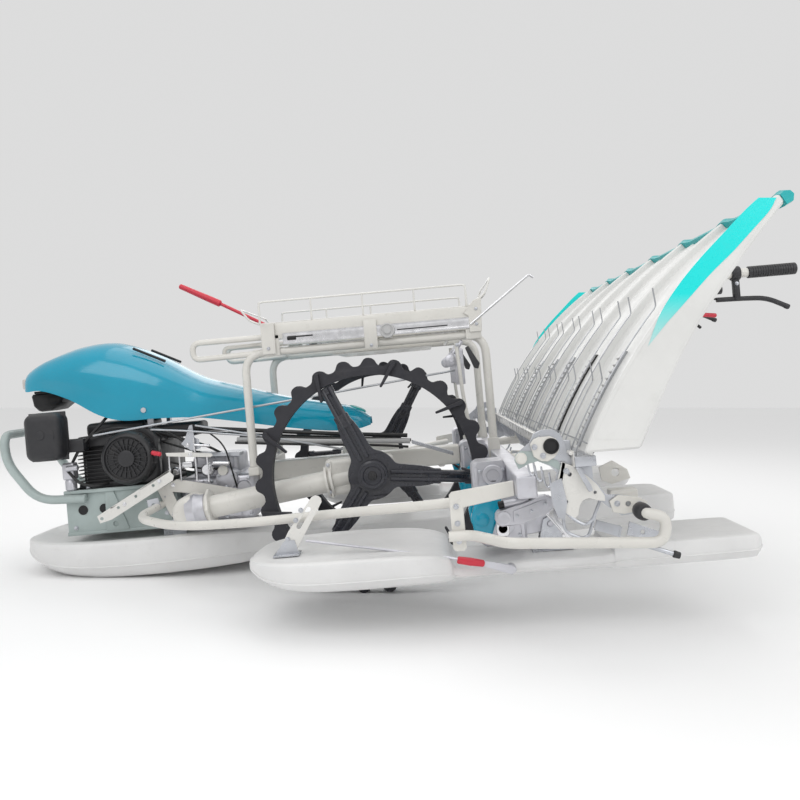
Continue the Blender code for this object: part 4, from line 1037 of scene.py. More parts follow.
def makeBasket():
    spec = basketShape
    front, back, halfY, floor = spec["front"], spec["back"], spec["halfY"], spec["floor"]
    runs = []
    top = floor + spec["side"]
    for line in range(spec["long"]):
        y = -halfY * 0.985 + 2 * halfY * 0.985 * line / (spec["long"] - 1)
        runs.append(bar((front + 0.003, y, floor), (back - 0.003, y, floor), spec["wire"] * 0.85,
                        8))
    for line in range(spec["across"]):
        x = front + 0.004 + (back - front - 0.008) * line / (spec["across"] - 1)
        runs.append(pipe([(x, -halfY, top), (x, -halfY, floor - 0.0015), (x, halfY, floor - 0.0015),
                          (x, halfY, top)],
                         spec["wire"], 0.01, 2, 3))
    for side in (-1, 1):
        runs.append(pipe([(front + 0.003, side * halfY, floor + 0.002),
                          (front + 0.003, side * halfY, top),
                          (back - 0.003, side * halfY, top),
                          (back - 0.003, side * halfY, floor + 0.002)],
                         spec["wire"] * 1.05, 0.012, 2, 3))
    for outX, upZ, tipX in ((-0.343, 0.806, -0.366), (0.372, 0.826, 0.39)):
        start = front if outX < 0 else back
        tipZ = 0.84 if outX < 0 else 0.872
        inner = halfY - 0.008
        runs.append(pipe([(start, -inner, floor), (outX, -inner, upZ), (tipX, -inner, tipZ),
                          (tipX, inner, tipZ),
                          (outX, inner, upZ), (start, inner, floor)], spec["wire"], 0.012, 2, 3))
        runs.append(bar((outX, -inner, upZ), (outX, inner, upZ), spec["wire"] * 0.85, 8))
    finishPiece(runs, "wireBasket", "basket", "wire_white", replaces=("basket",), angle=50)


def makeRackDetails():
    rack = {"face": 0.2274, "z": (0.724, 0.757), "x": (-0.24, 0.325)}
    for name, side in sides:
        face = side * rack["face"]
        out = face + side * 0.004
        strip = block(rack["x"], (face, out), rack["z"], 0.001, recess=((0, side, 0), 0.006,
                                                                        0.0025))
        finishPiece(strip, f"slideRail_{name}", "chassis", "brightSteel")
        # black strips and a bar painted in as the shade inside the slide rail's slots
        slotShade = [block((-0.205, -0.15), (out - side * 0.0022, out), (0.742, 0.746), 0.0008),
                 block((0.1, 0.25), (out - side * 0.0022, out), (0.737, 0.74), 0.0008),
                 bar((-0.226, face + side * 0.002, 0.741), (-0.2, face + side * 0.002, 0.741),
                     0.0062, 12)]
        finishPiece(slotShade, f"slideSlotShade_{name}", "chassis", "deepBlack")
        roller = turned((0.071, out, 0.738), (0.071, out + side, 0.738),
                        [(0, 0.022), (0.003, 0.0225), (0.006, 0.021), (0.0063, 0.018),
                         (0.004, 0.016), (0.004, 0.011),
                         (0.008, 0.01), (0.0085, 0.004)], 28)
        finishPiece(roller, f"slideRoller_{name}", "chassis", "greyPlastic")
        deep = face + side * 0.0095
        plates = [block((-0.302, -0.262), (face, deep), (0.698, 0.791), 0.002, recess=((0, side, 0),
                0.007, 0.002)),
                  block((0.002, 0.04), (out, out + side * 0.003), (0.688, 0.776), 0.001),
                  cutSheet([(0.314, 0.712), (0.35, 0.712), (0.356, 0.812), (0.332, 0.806),
                            (0.3, 0.77), (0.314, 0.76)],
                           (face, face + side * 0.004), soft=0.001)]
        finishPiece(plates, f"rackPlates_{name}", "chassis", "cream_paint")
        fix = bolts([((0.021, out + side * 0.003, 0.699), (0, side, 0)),
                     ((0.336, face + side * 0.004, 0.735), (0, side, 0)),
                     ((0.338, face + side * 0.004, 0.78), (0, side, 0)),
                     ((-0.283, deep - side * 0.002, 0.715), (0, side, 0))], 0.0042, False)
        finishPiece(fix, f"rackBolts_{name}", "chassis", "zinc_plate")
        # rear upright: foot plate, thin strut, rubber pad and the round knob
        inside = 0.21
        foot = [cutSheet([(0.34, 0.395), (0.372, 0.395), (0.38, 0.3), (0.338, 0.3)],
                         (side * (inside + 0.0128), side * (inside + 0.0168)), soft=0.001),
                pipe([(0.27, side * 0.229, 0.684), (0.279, side * 0.229, 0.505),
                      (0.3, side * 0.229, 0.366)], 0.0058, 0.05),
                block((0.288, 0.314), (side * 0.2255, side * 0.2325), (0.34, 0.372), 0.002)]
        finishPiece(foot, f"uprightFoot_{name}", "chassis", "cream_paint")
        pad = cutSheet([(0.296, 0.668), (0.306, 0.672), (0.336, 0.618), (0.33, 0.602),
                        (0.318, 0.606)],
                       (side * 0.214, side * 0.228), soft=0.002)
        finishPiece(pad, f"uprightPad_{name}", "chassis", "black_plastic")
        knob = turned((0.252, side * 0.196, 0.634), (0.252, side * 0.224, 0.634),
                      [(0, 0.014), (0.002, 0.018), (0.018, 0.019), (0.021, 0.015), (0.022, 0.007),
                       (0.026, 0.006)], 24)
        links = [knob, bar((0.262, side * 0.205, 0.655), (0.29, side * 0.205, 0.69), 0.006, 8),
                 block((0.262, 0.29), (side * 0.198, side * 0.206), (0.56, 0.668), 0.002)]
        finishPiece(links, f"rackLatch_{name}", "chassis", "cast_aluminium")
        bits = bolts([((0.358, side * 0.2268, 0.312), (0, side, 0)), ((0.301, side * 0.2325, 0.356),
                                                                      (0, side, 0)),
                      ((0.273, side * 0.2345, 0.678), (0, side, 0)), ((0.276, side * 0.206, 0.64),
                                                                      (0, side, 0)),
                      ((0.276, side * 0.206, 0.6), (0, side, 0))], 0.0045)
        finishPiece(bits, f"uprightBolts_{name}", "chassis", "zinc_plate")
        inner = pipe([(-0.305, side * 0.19, 0.705), (-0.425, side * 0.19, 0.7),
                      (-0.425, side * 0.19, 0.73),
                      (-0.305, side * 0.19, 0.732)], 0.0065, 0.018)
        finishPiece(inner, f"rackInnerLoop_{name}", "chassis", "cream_paint")
    tie = [bar((0.25, -0.208, 0.7), (0.25, 0.208, 0.7), 0.006, 10), bar((-0.31, -0.208, 0.7315),
            (-0.31, 0.208, 0.7315), 0.006, 10)]
    sheet = block((-0.1, 0.2), (-0.19, 0.19), (0.683, 0.687), 0.001, recess=((0, 0, -1), 0.02,
                                                                             0.001))
    finishPiece(weld(*tie, sheet), "rackTies", "chassis", "cream_paint")
    print("rack is fitted")


makeBasket()
makeRackDetails()


# --- planting units
unit = {"rows": (("left", -0.6), ("center", 0.0), ("right", 0.6)), "shaft": (0.32, 0.222),
        "throw": 0.034, "half": 0.04, "web": (0.098, 0.11), "arm": 0.15, "armHalf": 0.0125,
        "pivot": (0.445, 0.205), "shaftRadius": 0.0118, "pegRadius": 0.0069, "pegEnd": 0.1625,
        "floatPin": 0.007}


def makeUnit(name, y, firstArm):
    shaftX, shaftZ = unit["shaft"]
    pivotX, pivotZ = unit["pivot"]
    half = unit["half"]
    shell = cutSheet([(0.2625, 0.196), (0.268, 0.178), (0.284, 0.1655), (0.376, 0.1655),
                      (0.3845, 0.175),
                      (0.3845, 0.3092), (0.3444, 0.3092), (0.3444, 0.375), (0.272, 0.375),
                      (0.2625, 0.362)],
                     (y - half, y + half), soft=0.006)
    extras = []
    for side in (-1, 1):
        face = y + side * half
        out = side * 0.012
        extras.append(turned((shaftX, face - out * 0.3, shaftZ), (shaftX, face + out, shaftZ),
                             [(0, 0.036), (0.012, 0.035), (0.0135, 0.033), (0.0138, 0.026),
                              (0.017, 0.025),
                              (0.0175, 0.014)], 28))
        extras.append(turned((0.312, face - out * 0.3, 0.34), (0.312, face + out, 0.34),
                             [(0, 0.027), (0.01, 0.026), (0.012, 0.024), (0.0122, 0.016),
                              (0.009, 0.015),
                              (0.009, 0.006)], 24))
        extras.append(cutSheet([(0.29, 0.21), (0.302, 0.33), (0.33, 0.33), (0.35, 0.214),
                                (0.345, 0.196),
                                (0.3, 0.19)], (face - out * 0.2, face + out * 0.45), soft=0.002))
        extras.append(block((0.268, 0.276), (face, face + out * 0.4), (0.18, 0.36), 0.001))
        extras.append(block((0.37, 0.378), (face, face + out * 0.4), (0.174, 0.3), 0.001))
    lug = cutSheet([(0.378, 0.18), (pivotX, pivotZ - 0.016), (pivotX + 0.01, pivotZ - 0.012),
                    (pivotX + 0.014, pivotZ),
                    (pivotX + 0.01, pivotZ + 0.012), (pivotX, pivotZ + 0.016), (0.378, 0.25)],
                   (y - 0.006, y + 0.006),
                   soft=0.001)
    pin = bar((pivotX, y - 0.018, pivotZ), (pivotX, y + 0.018, pivotZ), unit["floatPin"], 20)
    finishPiece(weld(shell, *extras, lug, pin), f"chainCase_{name}", "chassis", "cast_aluminium",
                replaces=(f"planting_case_{name}",))
    spots = []
    for side in (-1, 1):
        face = y + side * (half + 0.0005)
        spots += [((x, face, z), (0, side, 0)) for x, z in ((0.281, 0.352), (0.281, 0.19),
                                                            (0.336, 0.352),
                                                           (0.366, 0.19), (0.366, 0.29))]
    finishPiece(bolts(spots, 0.0046, False), f"caseBolts_{name}", "chassis", "zinc_plate")
    # the front cover bulges toward the row
    covers = []
    for side in (-1, 1):
        face = y + side * half
        shield = cutSheet([(0.284, 0.296), (0.298, 0.3055), (0.315, 0.302), (0.326, 0.284),
                           (0.322, 0.262), (0.306, 0.222),
                           (0.296, 0.196), (0.28, 0.182), (0.264, 0.19), (0.254, 0.214),
                           (0.25, 0.246), (0.262, 0.28)],
                          (face + side * 0.003, face + side * 0.026), soft=0.005)
        covers.append(shield)
        covers.append(turned((0.276, face + side * 0.024, 0.238), (0.276, face + side, 0.238),
                             [(0, 0.018), (0.003, 0.017), (0.005, 0.013), (0.0055, 0.004)], 20))
    finishPiece(covers, f"caseCovers_{name}", "chassis", "hood_teal")
    # crank
    shaft = bar((shaftX, y - unit["web"][1], shaftZ), (shaftX, y + unit["web"][1], shaftZ),
                unit["shaftRadius"], 24)
    turning = [shaft]
    for side in (-1, 1):
        low, high = (y + side * each for each in unit["web"])
        web = cutSheet([(shaftX - 0.012, shaftZ - 0.018), (shaftX + 0.012, shaftZ - 0.018),
                        (shaftX + 0.016, shaftZ - 0.01),
                        (shaftX + 0.012, shaftZ + unit["throw"] + 0.006),
                        (shaftX + 0.006, shaftZ + unit["throw"] + 0.011),
                        (shaftX - 0.006, shaftZ + unit["throw"] + 0.011),
                        (shaftX - 0.012, shaftZ + unit["throw"] + 0.006),
                        (shaftX - 0.016, shaftZ - 0.01)], (low, high), soft=0.002)
        peg = bar((shaftX, y + side * (unit["web"][1] - 0.004), shaftZ + unit["throw"]),
                  (shaftX, y + side * unit["pegEnd"], shaftZ + unit["throw"]), unit["pegRadius"],
                  18)
        turning += [web, peg]
    finishPiece(turning, f"crankWebs_{name}", f"crank_{name}", "brightSteel",
                replaces=(f"crank_{name}",))
    for number, side in enumerate((-1, 1)):
        makePlantingArm(name, firstArm + number, y + side * unit["arm"])


def makePlantingArm(name, number, y):
    pinX, pinZ = unit["shaft"][0], unit["shaft"][1] + unit["throw"]

    def shape(points):
        return [(pinX + x, pinZ + z) for x, z in points]

    outline = shape([(-0.02, -0.004), (-0.016, -0.014), (-0.006, -0.0195), (0.04, -0.018),
                     (0.1, 0.002),
                     (0.114, 0.012), (0.118, 0.022), (0.113, 0.038), (0.1, 0.0435), (0.085, 0.0435),
                     (0.01, 0.0215),
                     (-0.012, 0.0175), (-0.019, 0.01)])
    half = unit["armHalf"]
    case = cutSheet(outline, (y - half, y + half), soft=0.003)
    parts = [case]
    for way in (-1, 1):
        face = y + way * half
        parts.append(turned((pinX, face - way * 0.001, pinZ), (pinX, face + way, pinZ),
                            [(0, 0.0165), (0.0035, 0.016), (0.004, 0.0145), (0.0028, 0.012),
                             (0.0028, 0.0084)], 24))
        parts.append(cutSheet(shape([(0.02, -0.01), (0.092, 0.008), (0.104, 0.02), (0.1, 0.034),
                                     (0.086, 0.034), (0.022, 0.015)]),
                              (face - way * 0.001, face + way * 0.0025), soft=0.001))
    parts.append(turned((pinX + 0.002, y, pinZ + 0.03), (pinX + 0.112, y, pinZ + 0.042),
                        [(0, 0.007), (0.002, 0.0085), (0.05, 0.0085), (0.0505, 0.007),
                         (0.07, 0.007), (0.072, 0.006)], 18))
    finishPiece(parts, f"armCase_{number}", f"arms_{name}", "cast_aluminium",
                replaces=(f"planting_arm_{number}",))
    tips = []
    for offset in (-0.0058, 0.0058):
        tips.append(cutSheet(shape([(0.088, 0.01), (0.11, 0.022), (0.114, 0.016), (0.15, -0.062),
                                    (0.1465, -0.066),
                                    (0.104, 0.0)]), (y + offset - 0.0011, y + offset + 0.0011)))
    tips.append(block((pinX + 0.092, pinX + 0.106), (y - 0.007, y + 0.007),
                      (pinZ + 0.0, pinZ + 0.012), 0.001))
    tips.append(bar((pinX + 0.094, y, pinZ + 0.006), (pinX + 0.136, y, pinZ - 0.05), 0.0028, 10))
    tips.append(block((pinX + 0.13, pinX + 0.142), (y - 0.004, y + 0.004),
                      (pinZ - 0.056, pinZ - 0.048), 0.001))
    tips.append(bar((pinX + 0.074, y, pinZ + 0.0385), (pinX + 0.108, y, pinZ + 0.0405), 0.0034, 10))
    finishPiece(tips, f"claw_{number}", f"arms_{name}", "brightSteel")
    ends = [turned((pinX - 0.01, y, pinZ + 0.0285), (pinX + 0.004, y, pinZ + 0.03),
                   [(0, 0.0075), (0.002, 0.0092), (0.012, 0.0092), (0.014, 0.008)], 18),
            turned((pinX + 0.06, y, pinZ + 0.0365), (pinX + 0.078, y, pinZ + 0.0385),
                   [(0, 0.0078), (0.002, 0.0088), (0.012, 0.0088), (0.0145, 0.006)], 18)]
    finishPiece(ends, f"armCaps_{number}", f"arms_{name}", "deepBlack")
    fix = bolts([((pinX + x, y + way * 0.015, pinZ + z), (0, way, 0)) for way in (-1, 1)
                 for x, z in ((0.03, 0.004), (0.064, 0.012), (0.096, 0.026))], 0.0036, False)
    finishPiece(fix, f"armBolts_{number}", f"arms_{name}", "zinc_plate")


for step, (name, y) in enumerate(unit["rows"]):
    makeUnit(name, y, 2 * step + 1)
print("planting units are modelled")


# --- rail end brackets, guard ends and hooks
def makeRailEnd(name, side):
    def at(y):
        return side * y

    # a cream flange with the pipe end, and a grey arm sweeping down to the shield
    flange = cutSheet([(0.38, 0.429), (0.388, 0.439), (0.4, 0.443), (0.424, 0.443), (0.436, 0.437),
                       (0.443, 0.424),
                       (0.44, 0.408), (0.43, 0.396), (0.416, 0.389), (0.4, 0.391), (0.386, 0.402)],
                      (at(0.8585), at(0.8645)), soft=0.0015)
    boss = turned((0.359, at(0.8575), 0.4), (0.359, at(0.9), 0.4),
                  [(0, 0.013), (0.005, 0.0125), (0.0055, 0.01), (0.012, 0.0098), (0.0125, 0.006)],
                  22)
    sleeve = turned((0.425, at(0.864), 0.4215), (0.425, at(0.9), 0.4215),
                    [(0, 0.0175), (0.004, 0.017), (0.0045, 0.014), (0.0006, 0.0135),
                     (0.0006, 0.004)], 26)
    finishPiece(weld(flange, boss), f"railFlange_{name}", "chassis", "cream_paint")
    finishPiece(sleeve, f"railPipeEnd_{name}", "chassis", "deepBlack")
    arm = cutSheet([(0.344, 0.397), (0.348, 0.41), (0.362, 0.416), (0.384, 0.413), (0.414, 0.401),
                    (0.438, 0.388),
                    (0.445, 0.374), (0.445, 0.363), (0.42, 0.38), (0.394, 0.391), (0.374, 0.387),
                    (0.352, 0.377)],
                   (at(0.8566), at(0.8584)), soft=0.0006)
    finishPiece(arm, f"railArm_{name}", "chassis", "frame_grey_green")
    shield = cutSheet([(0.445, 0.386), (0.466, 0.376), (0.498, 0.35), (0.516, 0.331), (0.53, 0.306),
                       (0.53, 0.294),
                       (0.512, 0.298), (0.496, 0.304), (0.482, 0.3), (0.474, 0.288), (0.47, 0.27),
                       (0.463, 0.263),
                       (0.446, 0.274), (0.429, 0.295), (0.421, 0.307), (0.428, 0.33),
                       (0.437, 0.356)],
                      (at(0.865), at(0.8675)),
                      holes=[roundHole(0.459, 0.358, 0.0045), roundHole(0.51, 0.315, 0.0035),
                             roundHole(0.447, 0.3, 0.0035)], soft=0.0006)
    fold = cutSheet([(0.445, 0.386), (0.452, 0.383), (0.444, 0.352), (0.43, 0.307), (0.421, 0.307),
                     (0.43, 0.34)],
                    (at(0.857), at(0.8675)), soft=0.0006)
    finishPiece(weld(shield, fold), f"rowShield_{name}", "chassis", "wire_white")
    blade = cutSheet([(0.414, 0.342), (0.44, 0.352), (0.448, 0.3), (0.44, 0.262), (0.426, 0.268),
                      (0.416, 0.3)],
                     (at(0.869), at(0.8702)), soft=0.0)
    loops = [blade]
    for start in (0.372, 0.388, 0.404):
        low = 0.366 - (start - 0.372) * 0.9
        loops.append(pipe([(start, at(0.846), low + 0.03), (start + 0.004, at(0.846), low),
                           (start + 0.01, at(0.846), low - 0.008),
                           (start + 0.016, at(0.846), low), (start + 0.014, at(0.846),
                                                             low + 0.026)], 0.0024, 0.004, 1, 3))
    loops.append(pipe([(0.446, at(0.812), 0.262), (0.448, at(0.812), 0.224), (0.484, at(0.812),
                                                                              0.206),
                       (0.5, at(0.812), 0.212), (0.517, at(0.812), 0.256)], 0.0036, 0.014, 2))
    loops.append(pipe([(0.438, at(0.836), 0.284), (0.468, at(0.836), 0.252),
                       (0.49, at(0.836), 0.24),
                       (0.506, at(0.836), 0.25), (0.526, at(0.836), 0.292)], 0.0036, 0.014, 2))
    loops.append(cutSheet([(0.521, 0.243), (0.573, 0.224), (0.566, 0.201), (0.514, 0.221)],
                          (at(0.8), at(0.8035)), soft=0.0006))
    loops.append(cutSheet([(0.573, 0.224), (0.577, 0.222), (0.57, 0.199), (0.566, 0.201)],
                          (at(0.785), at(0.8035)), soft=0.0006))
    loops.append(cutSheet([(0.597, 0.23), (0.671, 0.198), (0.66, 0.179), (0.589, 0.2)],
                          (at(0.786), at(0.7895)),
                          holes=[roundHole(0.625, 0.204, 0.005)], soft=0.0006))
    loops.append(bar((0.59, at(0.925), 0.2075), (0.648, at(0.925), 0.184), 0.005, 12))
    finishPiece(loops, f"rowHooks_{name}", "chassis", "zinc_plate")
    mounts = [cutSheet([(0.547, 0.352), (0.579, 0.365), (0.612, 0.342), (0.618, 0.321),
                        (0.574, 0.311), (0.551, 0.321)],
                       (at(0.748), at(0.752)), holes=[roundHole(0.584, 0.337, 0.009)], soft=0.001),
              block((0.56, 0.622), (at(0.752), at(0.79)), (0.278, 0.303), 0.004,
                    recess=((0, side, 0), 0.005, 0.003)),
              cutSheet([(0.54, 0.292), (0.56, 0.304), (0.608, 0.294), (0.622, 0.284),
                        (0.616, 0.268), (0.569, 0.262), (0.546, 0.268)],
                       (at(0.8575), at(0.8625)), holes=[roundHole(0.58, 0.283, 0.006)], soft=0.001)]
    finishPiece(mounts, f"guardMounts_{name}", "chassis", "cream_paint")
    collar = turned((0.596, at(0.893), 0.274), (0.596, at(0.928), 0.274),
                    [(0, 0.0135), (0.001, 0.0175), (0.012, 0.0185), (0.03, 0.0175), (0.034, 0.014)],
                    22)
    caps = [collar, turned((0.648, at(0.925), 0.184), (0.662, at(0.925), 0.1785),
                           [(0, 0.0062), (0.002, 0.0078), (0.014, 0.007)], 14)]
    finishPiece(caps, f"guardCollar_{name}", "chassis", "black_plastic")
    fix = bolts([((0.389, at(0.8645), 0.4225), (0, side, 0)), ((0.406, at(0.8645), 0.4025),
                                                               (0, side, 0)),
                 ((0.452, at(0.8675), 0.366), (0, side, 0)), ((0.556, at(0.8625), 0.286),
                                                              (0, side, 0)),
                 ((0.604, at(0.8625), 0.281), (0, side, 0)), ((0.212, at(0.8055), 0.3),
                                                              (0, side, 0)),
                 ((0.212, at(0.8055), 0.222), (0, side, 0)), ((0.212, at(0.8055), 0.262),
                                                              (0, side, 0))], 0.0052)
    finishPiece(fix, f"railEndBolts_{name}", "chassis", "zinc_plate")
    # depth lever with its rod, and the guide bolts of the float link
    rod = [pipe([(-0.148, at(0.682), 0.229), (0.073, at(0.7), 0.188), (0.19, at(0.735), 0.171),
                 (0.214, at(0.74), 0.165)], 0.0032, 0.04, 2),
           bar((0.33, at(0.716), 0.132), (0.33, at(0.736), 0.132), 0.011, 20),
           cutSheet([(0.262, 0.16), (0.33, 0.143), (0.34, 0.137), (0.34, 0.127), (0.33, 0.121),
                     (0.262, 0.147)],
                    (at(0.736), at(0.742)), soft=0.0015)]
    finishPiece(rod, f"depthRod_{name}", "chassis", "cast_aluminium")
    handle = turned((0.206, at(0.739), 0.1655), (0.268, at(0.739), 0.1515),
                    [(0, 0.006), (0.002, 0.0085), (0.03, 0.0095), (0.06, 0.008), (0.0635, 0.0055)],
                    16)
    finishPiece(handle, f"depthGrip_{name}", "chassis", "grip_red")
    slot = []
    for middle, start in ((0.0245, -90), (-0.0245, 90)):
        for step in range(7):
            turn = math.radians(start + step * 30)
            slot.append((middle + 0.0055 * math.cos(turn), 0.0055 * math.sin(turn)))
    lean = math.radians(56)
    ring = [(-0.15 + u * math.cos(lean) - v * math.sin(lean), 0.282 + u * math.sin(lean)
             + v * math.cos(lean))
            for u, v in slot]
    link = cutSheet([(-0.222, 0.1964), (-0.18, 0.1964), (-0.104, 0.316), (-0.105, 0.325),
                     (-0.111, 0.331),
                     (-0.119, 0.333), (-0.127, 0.33), (-0.19, 0.252)], (at(0.6695), at(0.6745)),
                    holes=[ring], soft=0.0008)
    finishPiece(link, f"slottedLink_{name}", f"float_{name}", "wire_white",
                replaces=(f"float_link_{name}",))
    feet = [block((-0.2275, -0.1655), (at(0.65), at(0.6935)), (0.1964, 0.201), 0.001),
            cutSheet([(-0.226, 0.2), (-0.168, 0.2), (-0.176, 0.232), (-0.2, 0.232)],
                     (at(0.675), at(0.677)), soft=0.0006)]
    finishPiece(feet, f"linkFoot_{name}", f"float_{name}", "zinc_plate")
    guides = bolts([((-0.169, at(0.6745), 0.278), (0, side, 0)), ((-0.155, at(0.6745), 0.301),
                                                                  (0, side, 0)),
                    ((-0.192, at(0.6745), 0.234), (0, side, 0))], 0.005)
    finishPiece(guides, f"linkBolts_{name}", f"float_{name}", "zinc_plate")


def roundHole(x, z, radius, count=14):
    return [(x + radius * math.cos(turn * 2 * math.pi / count),
             z + radius * math.sin(turn * 2 * math.pi / count))
            for turn in range(count)]


def makeGuard(name, side):
    # smooth twins of the bumper tubes along each side
    guard = {"radius": 0.0119, "longBend": 0.09, "loopBend": 0.028, "clamp": (0.795, 0.805)}
    front = [(-0.665, 0.1453, 0.272), (-0.665, 0.37, 0.27), (-0.5, 0.545, 0.266),
             (-0.297, 0.6, 0.269),
             (-0.06, 0.64, 0.28), (0.11, 0.74, 0.296), (0.245, 0.785, 0.307)]
    rear = [(0.19, 0.815, 0.236), (0.24, 0.815, 0.236), (0.31, 0.93, 0.236), (0.63, 0.93, 0.21),
            (0.64, 0.93, 0.262), (0.596, 0.93, 0.274), (0.596, 0.8563, 0.274)]
    tubes = [pipe([(x, side * y, z) for x, y, z in front], guard["radius"], guard["longBend"], 4,
                  7),
             pipe([(x, side * y, z) for x, y, z in rear], guard["radius"], guard["loopBend"], 4, 7)]
    clamp = cutSheet([(0.198, 0.206), (0.204, 0.2), (0.222, 0.2), (0.228, 0.206), (0.228, 0.296),
                      (0.3445, 0.312),
                      (0.3445, 0.346), (0.204, 0.332), (0.198, 0.326)], (side * guard["clamp"][0],
            side * guard["clamp"][1]), soft=0.002)
    finishPiece(weld(*tubes, clamp), f"guardTube_{name}", "chassis", "cream_paint",
                replaces=(f"side_guard_{name}",))
    foot = bolts([((-0.652, side * 0.152, 0.296), (0, side, 0)), ((-0.652, side * 0.152, 0.246),
                                                                  (0, side, 0))], 0.0055)
    plate = block((-0.692, -0.638), (side * 0.1455, side * 0.151), (0.226, 0.316), 0.002)
    finishPiece(plate, f"guardFoot_{name}", "chassis", "frame_grey_green")
    finishPiece(foot, f"guardFootBolts_{name}", "chassis", "zinc_plate")


for name, side in sides:
    makeRailEnd(name, side)
    makeGuard(name, side)
print("rail ends and guards are fitted")


# --- engine, its frame and covers
engine = {"x": (-0.93, -0.66), "half": 0.12, "floor": 0.2056, "top": 0.5, "fan": (-0.747, 0.425),
          "fanDepth": 0.075, "blades": 22, "ribs": 9, "cleaner": (-0.985, 0.51)}


def makeEngine():
    low, high = engine["x"]
    half, top = engine["half"], engine["top"]
    parts = [block((low + 0.01, high), (-half, half), (engine["floor"], 0.33), 0.012, 3),
             block((low, high - 0.004), (-half + 0.004, half - 0.004), (0.326, 0.352), 0.005),
             block((low + 0.02, high - 0.014), (-half + 0.012, half - 0.012), (0.345, 0.43), 0.01,
                   3)]
    # cooling fins round the cylinder and the head
    fins = {"count": 9, "first": 0.358, "pitch": 0.0115, "thick": 0.0034}
    for step in range(fins["count"]):
        z = fins["first"] + step * fins["pitch"]
        parts.append(block((low + 0.004, low + 0.15), (-half + 0.002, half - 0.002),
                           (z, z + fins["thick"]), 0.0008, 1))
    parts.append(block((low + 0.01, low + 0.14), (-half + 0.02, half - 0.02), (0.35, 0.47), 0.008))
    parts.append(block((low + 0.004, high - 0.002), (-half, half), (0.462, top), 0.014, 3,
                       recess=((0, 0, 1), 0.02, 0.004)))
    parts.append(block((-0.905, -0.722), (-0.092, 0.092), (0.492, 0.536), 0.014, 3))
    parts.append(block((-0.69, -0.56), (-0.088, 0.06), (0.47, 0.512), 0.01))
    parts.append(block((high - 0.1, high - 0.004), (-half, half), (0.35, 0.47), 0.01))
    silencer = turned((-0.905, 0.15, 0.445), (-0.7, 0.15, 0.445),
                      [(0, 0.03), (0.004, 0.038), (0.012, 0.042), (0.1, 0.042), (0.1005, 0.044),
                       (0.106, 0.044), (0.1065, 0.042),
                       (0.193, 0.042), (0.201, 0.038), (0.205, 0.03)], 28)
    parts.append(silencer)
    louvres = {"count": 7, "first": -0.882, "pitch": 0.026}
    for step in range(louvres["count"]):
        x = louvres["first"] + step * louvres["pitch"]
        parts.append(block((x, x + 0.01), (0.188, 0.1925), (0.425, 0.466), 0.001))
    parts.append(pipe([(-0.9, 0.105, 0.4), (-0.94, 0.13, 0.41), (-0.94, 0.15, 0.44),
                       (-0.9, 0.15, 0.445)], 0.012, 0.02))
    finishPiece(parts, "engineBody", "chassis", "engine_black", replaces=("engine_block",))
    heads = [((x, -half - 0.0004, z), (0, -1, 0)) for x, z in ((-0.9, 0.338), (-0.69, 0.318),
                                                               (-0.9, 0.24), (-0.69, 0.24),
                                                             (-0.915, 0.485), (-0.676, 0.485))]
    heads += [((x, half + 0.0004, z), (0, 1, 0)) for x, z in ((-0.9, 0.338), (-0.69, 0.318),
                                                              (-0.9, 0.24), (-0.69, 0.24))]
    heads += [((low - 0.0004, y, z), (-1, 0, 0)) for y in (-0.08, 0.08) for z in (0.3, 0.482)]
    finishPiece(bolts(heads, 0.0052, False), "engineBolts", "chassis", "zinc_plate")


